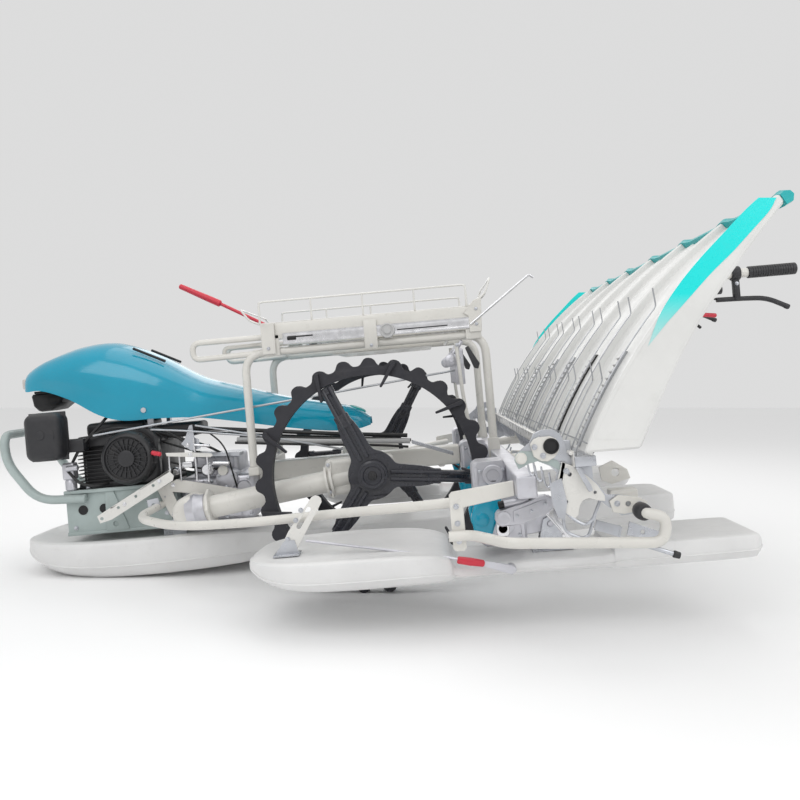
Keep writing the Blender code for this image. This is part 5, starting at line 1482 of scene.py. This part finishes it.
def makeRecoil():
    x, z = engine["fan"]
    near = -engine["half"] - 0.0004
    face = near - engine["fanDepth"]
    cup = turned((x, near, z), (x, face, z),
                 [(0, 0.085), (0.012, 0.085), (0.014, 0.083), (0.052, 0.082), (0.066, 0.078),
                  (0.073, 0.072), (0.075, 0.068),
                  (0.0745, 0.066), (0.068, 0.064), (0.066, 0.058), (0.066, 0.004)], 56)
    volute = cutSheet([(x - 0.03, z - 0.08), (x + 0.06, z - 0.078), (x + 0.083, z - 0.06),
                       (x + 0.084, z + 0.055),
                       (x + 0.06, z + 0.082), (x - 0.03, z + 0.083), (x - 0.082, z + 0.02),
                       (x - 0.082, z - 0.02)],
                      (near, near - 0.034), soft=0.006)
    parts = [cup, volute]
    for step in range(engine["ribs"]):
        # stiffening ribs fan out over the right of the cowl
        turn = math.radians(-60 + step * 15)
        inner = Vector((x + 0.06 * math.cos(turn), 0, z + 0.06 * math.sin(turn)))
        outer = Vector((x + 0.081 * math.cos(turn), 0, z + 0.081 * math.sin(turn)))
        rib = pipe([(inner.x, face + 0.004, inner.z), (outer.x, face + 0.012, outer.z),
                    (outer.x, near - 0.03, outer.z)], 0.0022, 0.006, 1, 3)
        parts.append(rib)
    finishPiece(parts, "recoilCowl", "chassis", "engine_black", replaces=("recoil_housing",))
    screen = [turned((x, face + 0.009, z), (x, face, z), [(0, 0.026), (0.008, 0.025),
                                                          (0.0095, 0.021), (0.0098, 0.01)], 26)]
    blade = block((0.025, 0.06), (-0.002, 0.002), (-0.0017, 0.0017), 0.0006, 1)
    for step in range(engine["blades"]):
        turn = Matrix.Rotation(step * 2 * math.pi / engine["blades"], 4, "Y")
        screen.append(copied(blade, Matrix.Translation((x, face + 0.006, z)) @ turn))
    bpy.data.objects.remove(blade)
    for radius in (0.04, 0.0595):
        letGo()
        bpy.ops.mesh.primitive_torus_add(major_radius=radius, minor_radius=0.0016,
                                         major_segments=48, minor_segments=6,
                                         rotation=(math.radians(90), 0, 0),
                                         location=(x, face + 0.006, z))
        screen.append(squareUp(bpy.context.object))
    finishPiece(screen, "fanScreen", "chassis", "black_plastic")
    pull = [bar((-0.672, -0.186, 0.436), (-0.642, -0.19, 0.428), 0.0068, 14, 0.003),
            block((-0.664, -0.65), (-0.196, -0.18), (0.426, 0.438), 0.003)]
    finishPiece(pull, "startHandle", "chassis", "grip_red")
    spots = [((x + 0.074 * math.cos(turn), near - 0.0345, z + 0.074 * math.sin(turn)), (0, -1, 0))
             for turn in (0.8, 2.4, 4.0, 5.5)]
    finishPiece(bolts(spots, 0.0045, False), "cowlBolts", "chassis", "zinc_plate")


def makeCleaner():
    x, z = engine["cleaner"]
    near = -engine["half"] - 0.0003
    front, back = near - 0.102, near - 0.012
    parts = [block((x - 0.055, x + 0.055), (front, back), (z - 0.0725, z + 0.0725), 0.03, 6),
             turned((x, front + 0.004, z + 0.006), (x, front - 0.001, z + 0.006),
                    [(0, 0.042), (0.003, 0.04), (0.0045, 0.034), (0.0045, 0.01)], 32),
             turned((x, front + 0.001, z + 0.006), (x, front - 0.004, z + 0.006),
                    [(0, 0.014), (0.003, 0.013), (0.0042, 0.009)], 20),
             block((x - 0.056, x + 0.056), (near - 0.05, near - 0.044), (z - 0.0735, z + 0.0735),
                   0.002),
             turned((x + 0.01, near - 0.06, z - 0.07), (x + 0.01, near - 0.06, z - 0.0725),
                    [(0, 0.014), (0.0024, 0.012)], 16),
             block((x, engine["x"][0] + 0.045), (near - 0.04, near), (z - 0.055, z - 0.015), 0.006)]
    finishPiece(parts, "cleanerCase", "chassis", "black_plastic", replaces=("air_cleaner",))
    fuel = [block((-0.958, -0.922), (-0.162, -0.126), (0.372, 0.424), 0.006, 3),
            turned((-0.94, -0.145, 0.372), (-0.94, -0.145, 0.3), [(0, 0.014), (0.004, 0.017),
            (0.03, 0.017), (0.036, 0.01)], 20),
            bar((-0.94, -0.168, 0.408), (-0.905, -0.168, 0.408), 0.009, 14)]
    finishPiece(fuel, "fuelBowl", "chassis", "cast_aluminium")
    runs = [pipe([(-0.94, -0.16, 0.4), (-0.905, -0.17, 0.36), (-0.86, -0.16, 0.345),
                  (-0.83, -0.13, 0.35)], 0.0045, 0.03),
            pipe([(-0.93, -0.145, 0.424), (-0.9, -0.15, 0.47), (-0.85, -0.14, 0.52),
                  (-0.82, -0.11, 0.56)], 0.0045, 0.04),
            pipe([(-0.7, -0.12, 0.505), (-0.66, -0.15, 0.508), (-0.61, -0.15, 0.48),
                  (-0.575, -0.15, 0.45)], 0.0032, 0.03),
            pipe([(-0.42, -0.11, 0.455), (-0.2, -0.118, 0.432), (0.0, -0.112, 0.412),
                  (0.11, -0.105, 0.4)], 0.0045, 0.08),
            pipe([(-0.43, -0.135, 0.44), (-0.2, -0.14, 0.415), (0.0, -0.138, 0.396),
                  (0.1, -0.118, 0.38)], 0.004, 0.08)]
    # wiring and control cables between the engine and the gear case
    loose = [(0.004, [(-0.69, -0.12, 0.5), (-0.6, -0.14, 0.47), (-0.52, -0.13, 0.44),
                      (-0.47, -0.1, 0.4)]),
             (0.0032, [(-0.66, -0.105, 0.46), (-0.58, -0.125, 0.432), (-0.5, -0.115, 0.402)]),
             (0.0032, [(-0.64, -0.13, 0.4), (-0.56, -0.14, 0.372), (-0.47, -0.13, 0.365)]),
             (0.0026, [(-0.52, -0.14, 0.49), (-0.46, -0.15, 0.44), (-0.448, -0.135, 0.36),
                       (-0.44, -0.118, 0.3)]),
             (0.0026, [(-0.655, -0.11, 0.36), (-0.6, -0.135, 0.372), (-0.54, -0.12, 0.35),
                       (-0.47, -0.12, 0.372)]),
             (0.0065, [(-0.6, -0.08, 0.498), (-0.4, -0.095, 0.474), (-0.1, -0.105, 0.436),
                       (0.1, -0.1, 0.414)]),
             (0.005, [(-0.56, -0.06, 0.48), (-0.4, -0.08, 0.458), (-0.1, -0.095, 0.424),
                      (0.11, -0.092, 0.398)]),
             (0.0034, [(-0.86, -0.13, 0.505), (-0.8, -0.145, 0.52), (-0.7, -0.14, 0.51),
                       (-0.64, -0.12, 0.47)]),
             (0.0034, [(-0.9, -0.128, 0.47), (-0.87, -0.15, 0.5), (-0.83, -0.14, 0.515)])]
    runs += [pipe(path, radius, 0.05, 2, 5) for radius, path in loose]
    finishPiece(runs, "hoses", "chassis", "hoseRubber")


def makeFrame():
    half = 0.1453
    shell = pipe([(-0.9, -0.1588, 0.312), (-1.04, -0.1588, 0.318), (-1.124, -0.1588, 0.44),
                  (-1.128, -0.1588, 0.525),
                  (-1.128, 0.1588, 0.525), (-1.124, 0.1588, 0.44), (-1.04, 0.1588, 0.318),
                  (-0.9, 0.1588, 0.312)], 0.0134, 0.055, 4, 7)
    caps = [turned((-0.902, y, 0.312), (-0.89, y, 0.3115), [(0, 0.0134), (0.003, 0.014),
            (0.008, 0.0134), (0.011, 0.01)], 20) for y in (-0.1588, 0.1588)]
    finishPiece(weld(shell, *caps), "bumperTube", "chassis", "frame_grey_green",
                replaces=("front_bumper",))
    trim, holeShade, heads = [], [], []
    for side in (-1, 1):
        face = side * half
        trim.append(block((-0.962, -0.618), (face - side * 0.004, face + side * 0.01),
                          (0.327, 0.338), 0.002))
        trim.append(block((-0.962, -0.618), (face - side * 0.002, face + side * 0.004),
                          (0.199, 0.21), 0.002))
        trim.append(cutSheet([(-0.842, 0.204), (-0.838, 0.328), (-0.812, 0.328), (-0.77, 0.204)],
                             (face, face + side * 0.004),
                             holes=[roundHole(-0.812, 0.226, 0.008)], soft=0.001))
        # black discs painted in as the shade inside the frame's holes
        for x in (-0.91, -0.845):
            holeShade.append(turned((x, face - side * 0.002, 0.275), (x, face + side, 0.275),
                               [(0, 0.015), (0.0034, 0.0145), (0.0034, 0.002)], 20))
        heads += [((x, face + side * 0.0004, z), (0, side, 0)) for x, z in ((-0.936, 0.316),
                (-0.936, 0.222), (-0.636, 0.216), (-0.72, 0.308))]
    finishPiece(trim, "frameLips", "chassis", "frame_grey_green")
    finishPiece(holeShade, "frameHoleShade", "chassis", "deepBlack")
    finishPiece(bolts(heads, 0.0056), "frameBolts", "chassis", "zinc_plate")


def makeGearCase():
    parts = [block((-0.6194, -0.39), (-0.11, 0.11), (0.2, 0.34), 0.014, 3),
             block((-0.585, -0.44), (-0.075, 0.075), (0.32, 0.405), 0.014, 3),
             block((-0.6194, -0.39), (-0.1125, -0.1075), (0.262, 0.272), 0.002),
             block((-0.6194, -0.39), (0.1075, 0.1125), (0.262, 0.272), 0.002),
             turned((-0.47, -0.125, 0.33), (-0.47, 0.125, 0.33), [(0, 0.026), (0.003, 0.033),
            (0.01, 0.034), (0.24, 0.034), (0.247, 0.033), (0.25, 0.026)], 30),
             turned((-0.55, -0.1877, 0.258), (-0.55, 0.1877, 0.258),
                    [(0, 0.036), (0.002, 0.04), (0.01, 0.04), (0.0102, 0.036), (0.06, 0.036),
                     (0.074, 0.04), (0.3014, 0.04), (0.3154, 0.036),
                     (0.3652, 0.036), (0.3654, 0.04), (0.3734, 0.04), (0.3754, 0.036)], 32),
             turned((-0.42, -0.119, 0.3), (-0.42, -0.108, 0.3), [(0, 0.018), (0.003, 0.021),
                                                                 (0.011, 0.022)], 22)]
    for x in (-0.6, -0.545, -0.49, -0.435):
        for side in (-1, 1):
            parts.append(block((x - 0.002, x + 0.002), (side * 0.11, side * 0.1135), (0.212, 0.33),
                               0.001, 1))
    for x in (-0.57, -0.54, -0.51, -0.48, -0.455):
        parts.append(block((x - 0.0015, x + 0.0015), (-0.078, 0.078), (0.338, 0.399), 0.001, 1))
    finishPiece(parts, "gearCase", "chassis", "cast_aluminium", replaces=("gearbox",))
    heads = [((x, side * 0.1112, z), (0, side, 0)) for side in (-1, 1)
             for x, z in ((-0.606, 0.326), (-0.606, 0.214), (-0.404, 0.326), (-0.404, 0.214),
                          (-0.48, 0.214), (-0.52, 0.326))]
    heads += [((-0.47 + 0.024 * math.cos(turn), -0.1252, 0.33 + 0.024 * math.sin(turn)), (0, -1, 0))
              for turn in (0.5, 2.6, 4.7)]
    finishPiece(bolts(heads, 0.005, False), "gearBolts", "chassis", "zinc_plate")
    # near side: cream plate with its window, pale disc, channel bar, bell crank and levers
    plate = [cutSheet([(-0.674, 0.318), (-0.613, 0.346), (-0.545, 0.33), (-0.392, 0.292),
                       (-0.392, 0.276), (-0.56, 0.282), (-0.592, 0.25), (-0.624, 0.222),
                       (-0.64, 0.236)],
                      (-0.158, -0.155), holes=[[(-0.628, 0.309), (-0.559, 0.297), (-0.612, 0.262)]],
                      soft=0.001),
             bar((-0.62, -0.155, 0.326), (-0.62, -0.108, 0.326), 0.008, 12),
             bar((-0.42, -0.155, 0.287), (-0.42, -0.108, 0.287), 0.008, 12),
             turned((-0.476, -0.1255, 0.358), (-0.476, -0.14, 0.358), [(0, 0.016), (0.01, 0.015),
                                                                       (0.011, 0.008)], 22)]
    finishPiece(plate, "sidePlate", "chassis", "cream_paint")
    beam = cutSheet([(-0.846, 0.26), (-0.838, 0.238), (-0.802, 0.247), (-0.61, 0.348),
                     (-0.606, 0.362), (-0.621, 0.379), (-0.806, 0.282)],
                    (-0.201, -0.1985), holes=[roundHole(-0.832, 0.252, 0.005),
                                              roundHole(-0.78, 0.281, 0.0045),
                                              roundHole(-0.725, 0.31, 0.0045),
                                               roundHole(-0.67, 0.338, 0.0045)], soft=0.0006)
    lip = cutSheet([(-0.806, 0.282), (-0.802, 0.279), (-0.617, 0.375), (-0.621, 0.379)],
                   (-0.201, -0.187), soft=0.0006)
    white = cutSheet([(-0.635, 0.43), (-0.632, 0.419), (-0.5, 0.405), (-0.492, 0.41),
                      (-0.496, 0.417), (-0.56, 0.425)], (-0.172, -0.17), soft=0.0006)
    stay = [bar((-0.76, -0.199, 0.29), (-0.76, -0.146, 0.29), 0.006, 10), bar((-0.65, -0.199, 0.35),
            (-0.65, -0.119, 0.35), 0.006, 10),
            bar((-0.56, -0.171, 0.418), (-0.56, -0.07, 0.418), 0.006, 10)]
    finishPiece(weld(beam, lip, white, *stay), "channelBar", "chassis", "wire_white")
    bell = cutSheet([(-0.59, 0.452), (-0.577, 0.466), (-0.561, 0.506), (-0.552, 0.508),
                     (-0.548, 0.468), (-0.536, 0.462), (-0.532, 0.434), (-0.56, 0.428)],
                    (-0.156, -0.153), holes=[roundHole(-0.569, 0.447, 0.005)], soft=0.0008)
    lug = [cutSheet([(-0.694, 0.296), (-0.66, 0.3), (-0.652, 0.27), (-0.664, 0.256),
                     (-0.69, 0.262)], (-0.201, -0.197),
                    holes=[roundHole(-0.674, 0.278, 0.006)], soft=0.001),
           block((-0.665, -0.596), (-0.16, -0.146), (0.155, 0.198), 0.003, recess=((0, -1, 0),
                                                                                   0.006, 0.004)),
           cutSheet([(0.112, 0.4), (0.238, 0.352), (0.238, 0.34), (0.112, 0.388)], (-0.112, -0.1),
                    soft=0.001),
           cutSheet([(-0.56, 0.421), (-0.42, 0.409), (-0.421, 0.398), (-0.56, 0.406)],
                    (-0.13, -0.076), soft=0.001),
           bar((-0.569, -0.157, 0.447), (-0.569, -0.07, 0.447), 0.0055, 12)]
    finishPiece(weld(bell, *lug), "bellCrank", "chassis", "zinc_plate")
    rods = [pipe([(-0.841, -0.19, 0.502), (-0.5, -0.186, 0.533), (-0.1, -0.186, 0.569),
                  (0.268, -0.198, 0.604)], 0.0032, 0.06, 2),
            pipe([(-0.671, -0.178, 0.505), (-0.56, -0.165, 0.49), (-0.357, -0.15, 0.455)], 0.003,
                 0.04, 2),
            pipe([(-0.542, -0.158, 0.505), (-0.3, -0.15, 0.444), (-0.101, -0.14, 0.392)], 0.003,
                 0.05, 2)]
    finishPiece(rods, "controlRods", "chassis", "wireGrey")
    tube = pipe([(-0.427, -0.118, 0.448), (-0.2, -0.118, 0.424), (0.107, -0.112, 0.397)], 0.008,
                0.05, 3)
    finishPiece(tube, "greyTube", "chassis", "greyPlastic")
    links = [bar((x, -0.164, low), (x, -0.164, high), 0.003, 8) for x, low, high in
             ((-0.628, 0.345, 0.424), (-0.596, 0.34, 0.424), (-0.512, 0.33, 0.412),
              (-0.548, 0.336, 0.47))]
    links += [bar((-0.548, -0.166, 0.446), (-0.5, -0.166, 0.44), 0.0045, 10),
              bar((-0.5, -0.15, 0.385), (-0.45, -0.15, 0.38), 0.0075, 14),
              turned((-0.61, -0.15, 0.372), (-0.61, -0.17, 0.372), [(0, 0.013), (0.012, 0.012),
            (0.016, 0.008), (0.022, 0.007)], 18),
              turned((-0.52, -0.128, 0.366), (-0.52, -0.158, 0.366), [(0, 0.02), (0.018, 0.019),
            (0.022, 0.015), (0.022, 0.006)], 22),
              block((-0.596, -0.56), (-0.16, -0.14), (0.378, 0.396), 0.003)]
    finishPiece(links, "linkRods", "chassis", "brightSteel")
    heads = [((x, -0.2012, z), (0, -1, 0)) for x, z in ((-0.76, 0.29), (-0.65, 0.35))]
    heads += [((-0.569, -0.1572, 0.447), (0, -1, 0)), ((-0.624, -0.1582, 0.33), (0, -1, 0)),
              ((-0.42, -0.1582, 0.287), (0, -1, 0)), ((-0.56, -0.1722, 0.418), (0, -1, 0))]
    finishPiece(bolts(heads, 0.005), "linkageBolts", "chassis", "brightSteel")


def makeLeg(name, side):
    pivot = Vector((-0.55, side * 0.255, 0.258))
    hub = Vector((0.0, side * 0.255, 0.33))
    way = (hub - pivot).normalized()
    inner, outer = side * 0.188, side * 0.288
    elbow = turned((pivot.x, inner, pivot.z), (pivot.x, outer, pivot.z),
                   [(0, 0.044), (0.003, 0.048), (0.012, 0.048), (0.0125, 0.045), (0.03, 0.045),
                    (0.0305, 0.048), (0.084, 0.047), (0.094, 0.042), (0.0995, 0.032)], 34)
    length = (hub - pivot).length - 0.05
    shank = turned(pivot, pivot + way, [(0.0, 0.03), (0.046, 0.033), (0.05, 0.0395),
                                        (0.058, 0.0395), (0.0585, 0.033),
                                        (length * 0.55, 0.0325), (length - 0.094, 0.0325),
                                        (length - 0.0935, 0.046), (length - 0.0865, 0.046),
                                        (length - 0.086, 0.036),
                                        (length - 0.08, 0.036), (length - 0.0795, 0.046),
                                        (length - 0.0725, 0.046), (length - 0.072, 0.033),
                                        (length, 0.033)], 32)
    case = block((-0.1425, 0.0562), (side * 0.255 - 0.03, side * 0.255 + 0.03), (0.2712, 0.3764),
                 0.014, 4, recess=((0, side, 0), 0.014, 0.003))
    boss = turned((0, side * 0.235, 0.33), (0, side * 0.288, 0.33), [(0, 0.036), (0.046, 0.036),
            (0.05, 0.034), (0.0529, 0.028)], 30)
    ribs = [block((-0.128, -0.122), (side * 0.255 - 0.0308, side * 0.255 + 0.0308), (0.266, 0.372),
                  0.002),
            block((0.034, 0.04), (side * 0.255 - 0.0308, side * 0.255 + 0.0308), (0.28, 0.368),
                  0.002)]
    finishPiece(weld(elbow, shank, case, boss, *ribs), f"legCase_{name}", f"leg_{name}",
                "cream_paint", replaces=(f"swing_leg_{name}",))
    casting = turned(pivot - way * 0.006, pivot + way, [(0.0, 0.03), (0.004, 0.044), (0.03, 0.049),
                                                        (0.04, 0.043),
                                                        (0.058, 0.042), (0.0585, 0.04)], 28)
    finishPiece(casting, f"elbowCasting_{name}", f"leg_{name}", "cast_aluminium")
    plate = turned(pivot + way * 0.06, pivot + way, [(0.0, 0.052), (0.001, 0.054), (0.008, 0.054),
                                                     (0.009, 0.052)], 8)
    finishPiece(plate, f"elbowFlange_{name}", f"leg_{name}", "cream_paint")
    heads = []
    for step in range(6):
        turn = step * math.pi / 3
        heads.append(((pivot.x + 0.039 * math.cos(turn), outer - side * 0.0105,
                       pivot.z + 0.039 * math.sin(turn)), (0, side, 0)))
    heads += [((x, side * 0.2853, z), (0, side, 0)) for x, z in ((-0.132, 0.362), (-0.132, 0.284),
                                                                 (0.046, 0.362), (0.046, 0.286))]
    finishPiece(bolts(heads, 0.0046, False), f"legBolts_{name}", f"leg_{name}", "zinc_plate")


makeEngine()
makeRecoil()
makeCleaner()
makeFrame()
makeGearCase()
for name, side in sides:
    makeLeg(name, side)
print("engine and drive are modelled")


# --- handles, hoops and the loose levers
def makeHandles():
    y, start, tube, lean, cross = 0.28, 0.3906, 0.0134, 0.0088, 0.0119
    runs = []
    for side in (-1, 1):
        path = [(start, 0.335), (0.6, 0.335), (0.79, 0.5), (0.985, 0.77), (1.06, 0.812),
                (1.126, 0.812)]
        runs.append(pipe([(x, side * y, z) for x, z in path], tube, 0.05, 4, 7))
        runs.append(block((0.478, 0.506), (side * y - 0.012, side * y + 0.012), (0.33, 0.3734),
                          0.002))
        shoe = trayPoint(0.62, -0.036)
        runs.append(bar((0.895, side * y, 0.6454), (shoe[0], side * y, shoe[1]), lean, 14))
        runs.append(block((start, start + 0.006), (side * y - 0.03, side * y + 0.03),
                          (0.312, 0.358), 0.001))
    runs.append(bar((0.945, -y, 0.715), (0.945, y, 0.715), cross, 18))
    runs.append(block((0.925, 0.995), (-0.215, -0.075), (0.665, 0.715), 0.01, 3, recess=((0, 0, 1),
            0.008, 0.003)))
    finishPiece(runs, "handleTubes", "chassis", "cream_paint", replaces=("handlebar",))
    keys = [turned((0.948, -0.19, 0.714), (0.94, -0.19, 0.738), [(0, 0.008), (0.002, 0.01),
                                                                 (0.016, 0.01), (0.02, 0.006)], 16),
            turned((0.968, -0.15, 0.712), (0.968, -0.15, 0.73), [(0, 0.012), (0.01, 0.011),
                                                                 (0.014, 0.007)], 16),
            block((0.94, 0.98), (-0.122, -0.092), (0.712, 0.722), 0.003)]
    finishPiece(keys, "consoleKnobs", "chassis", "black_plastic")
    ribbing = {"count": 17, "first": 0.01, "pitch": 0.0072}
    for name, side in sides:
        spot = side * y
        ribs = [(0.0, 0.015), (0.0015, 0.0172)]
        for step in range(ribbing["count"]):
            base = ribbing["first"] + step * ribbing["pitch"]
            ribs += [(base, 0.0172), (base + 0.0004, 0.0162), (base + 0.002, 0.0162),
                     (base + 0.0024, 0.0172)]
        ribs += [(0.1375, 0.0172), (0.1395, 0.015)]
        grip = turned((1.1264, spot, 0.812), (1.266, spot, 0.812), ribs, 24)
        finishPiece(grip, f"ribbedGrip_{name}", "chassis", "black_plastic",
                    replaces=(f"grip_{name}",))
        clamp = turned((1.077, spot, 0.812), (1.103, spot, 0.812), [(0, 0.0145), (0.001, 0.0195),
                (0.003, 0.0209), (0.023, 0.0209), (0.025, 0.0195), (0.026, 0.0145)], 24)
        drop = block((1.081, 1.099), (spot - 0.0095, spot + 0.0095), (0.734, 0.797), 0.003)
        lever = pipe([(1.031, spot, 0.74), (1.105, spot, 0.738), (1.175, spot, 0.734),
                      (1.238, spot, 0.702)], 0.0072, 0.03, 3, 6)
        tip = turned((1.226, spot, 0.7075), (1.24, spot, 0.7005), [(0, 0.0072), (0.003, 0.008),
                (0.01, 0.008), (0.014, 0.006)], 14)
        finishPiece(weld(clamp, drop, lever, tip), f"handLever_{name}", "chassis", "black_plastic",
                    replaces=(f"brake_lever_{name}",))
        wire = pipe([(1.034, spot, 0.742), (1.0, spot + side * 0.006, 0.748),
                     (0.972, spot + side * 0.012, 0.742), (0.9, spot + side * 0.016, 0.64),
                     (0.79, spot + side * 0.018, 0.486), (0.62, spot + side * 0.018, 0.322)],
                    0.0034, 0.05, 2, 5)
        finishPiece(wire, f"handCable_{name}", "chassis", "hoseRubber")
    thumb = [bar((0.965, -0.292, 0.703), (1.022, -0.292, 0.695), 0.0062, 14, 0.003)]
    finishPiece(thumb, "thumbLever", "chassis", "grip_red")
    small = [bar((0.95, -0.25, 0.7), (0.99, -0.25, 0.664), 0.0045, 10, 0.002),
             bar((0.948, 0.25, 0.7), (0.99, 0.25, 0.664), 0.0045, 10, 0.002)]
    finishPiece(small, "smallLevers", "chassis", "black_plastic")
    pins = bolts([((1.09, side * y + way * 0.0096, 0.782), (0, way, 0)) for side in (-1, 1)
                  for way in (-1, 1)], 0.0045, False)
    finishPiece(pins, "leverPins", "chassis", "zinc_plate")


def makeHoops():
    low, top, back = 0.3693, 0.705, 0.3603
    hoopShape = {"y": 0.21, "radius": 0.0124, "bend": 0.062, "loopRadius": 0.0089,
                 "loopBend": 0.024}
    for name, side in sides:
        y = side * hoopShape["y"]
        hoop = pipe([(-0.361, y, low), (-0.361, y, top), (0.358, y, top), (0.358, y, back)],
                    hoopShape["radius"], hoopShape["bend"], 4, 8)
        loop = pipe([(-0.3, y, top), (-0.514, y, top - 0.004), (-0.514, y, top + 0.046),
                     (-0.3003, y, top + 0.046)], hoopShape["loopRadius"], hoopShape["loopBend"], 4,
                    7)
        outside, inside = side * 0.2228, side * 0.174
        channel = [block((-0.3, 0.35), (inside, outside + side * 0.004), (0.742, 0.788), 0.002)]
        for x, width in ((-0.275, 0.046), (0.02, 0.04), (0.325, 0.046)):
            channel.append(block((x - width / 2, x + width / 2), (outside, outside + side * 0.004),
                                 (0.692, 0.754), 0.001))
        finishPiece(weld(hoop, loop), f"rackHoop_{name}", "chassis", "cream_paint",
                    replaces=(f"rack_frame_{name}",))
        finishPiece(channel, f"rackChannel_{name}", "chassis", "cream_paint",
                    replaces=(f"rack_rail_{name}",))
    hook = pipe([(0.318, -0.2311, 0.735), (0.503, -0.2311, 0.867), (0.516, -0.2311, 0.857)], 0.0039,
                0.008, 3, 4)
    finishPiece(hook, "hookRod", "chassis", "brightSteel",
                replaces=("rack_hook_rod",))
    spot = 0.2331
    lever = [turned((-0.27, spot, 0.762), (-0.529, spot, 0.912), [(0, 0.0052), (0.002, 0.006),
            (0.297, 0.006), (0.299, 0.0052)], 16),
             turned((-0.529, spot, 0.912), (-0.669, spot, 0.988), [(0, 0.009), (0.003, 0.012),
            (0.04, 0.0118), (0.1, 0.0104), (0.156, 0.0092), (0.1592, 0.006)], 20)]
    finishPiece(lever, "releaseLever", "chassis", "grip_red", replaces=("rack_release_lever",))


def makeSpine():
    parts = [block((-0.3897, 0.2617), (-0.03, 0.03), (0.303, 0.363), 0.006, 3, recess=((0, -1, 0),
            0.01, 0.001)),
             block((-0.377, -0.345), (-0.224, 0.224), (0.343, 0.369), 0.004)]
    finishPiece(parts, "spineTube", "chassis", "cream_paint", replaces=("main_frame",))
    finishPiece(block((0.345, 0.39), (-0.8497, 0.8497), (0.31, 0.36), 0.005, 3), "rearBeam",
                "chassis", "cast_aluminium", replaces=("rear_cross_beam",))
    heads = [((x, side * y, 0.3695), (0, 0, 1)) for side in (-1, 1) for x, y in ((-0.361, 0.19),)]
    heads += [((0.3444, y, 0.335), (-1, 0, 0)) for y in (-0.3, -0.25, 0.25, 0.3)]
    finishPiece(bolts(heads, 0.0052, False), "spineBolts", "chassis", "zinc_plate")


makeHandles()
makeHoops()
makeSpine()
print("handles and hoops are modelled")

print("all pieces are in place")
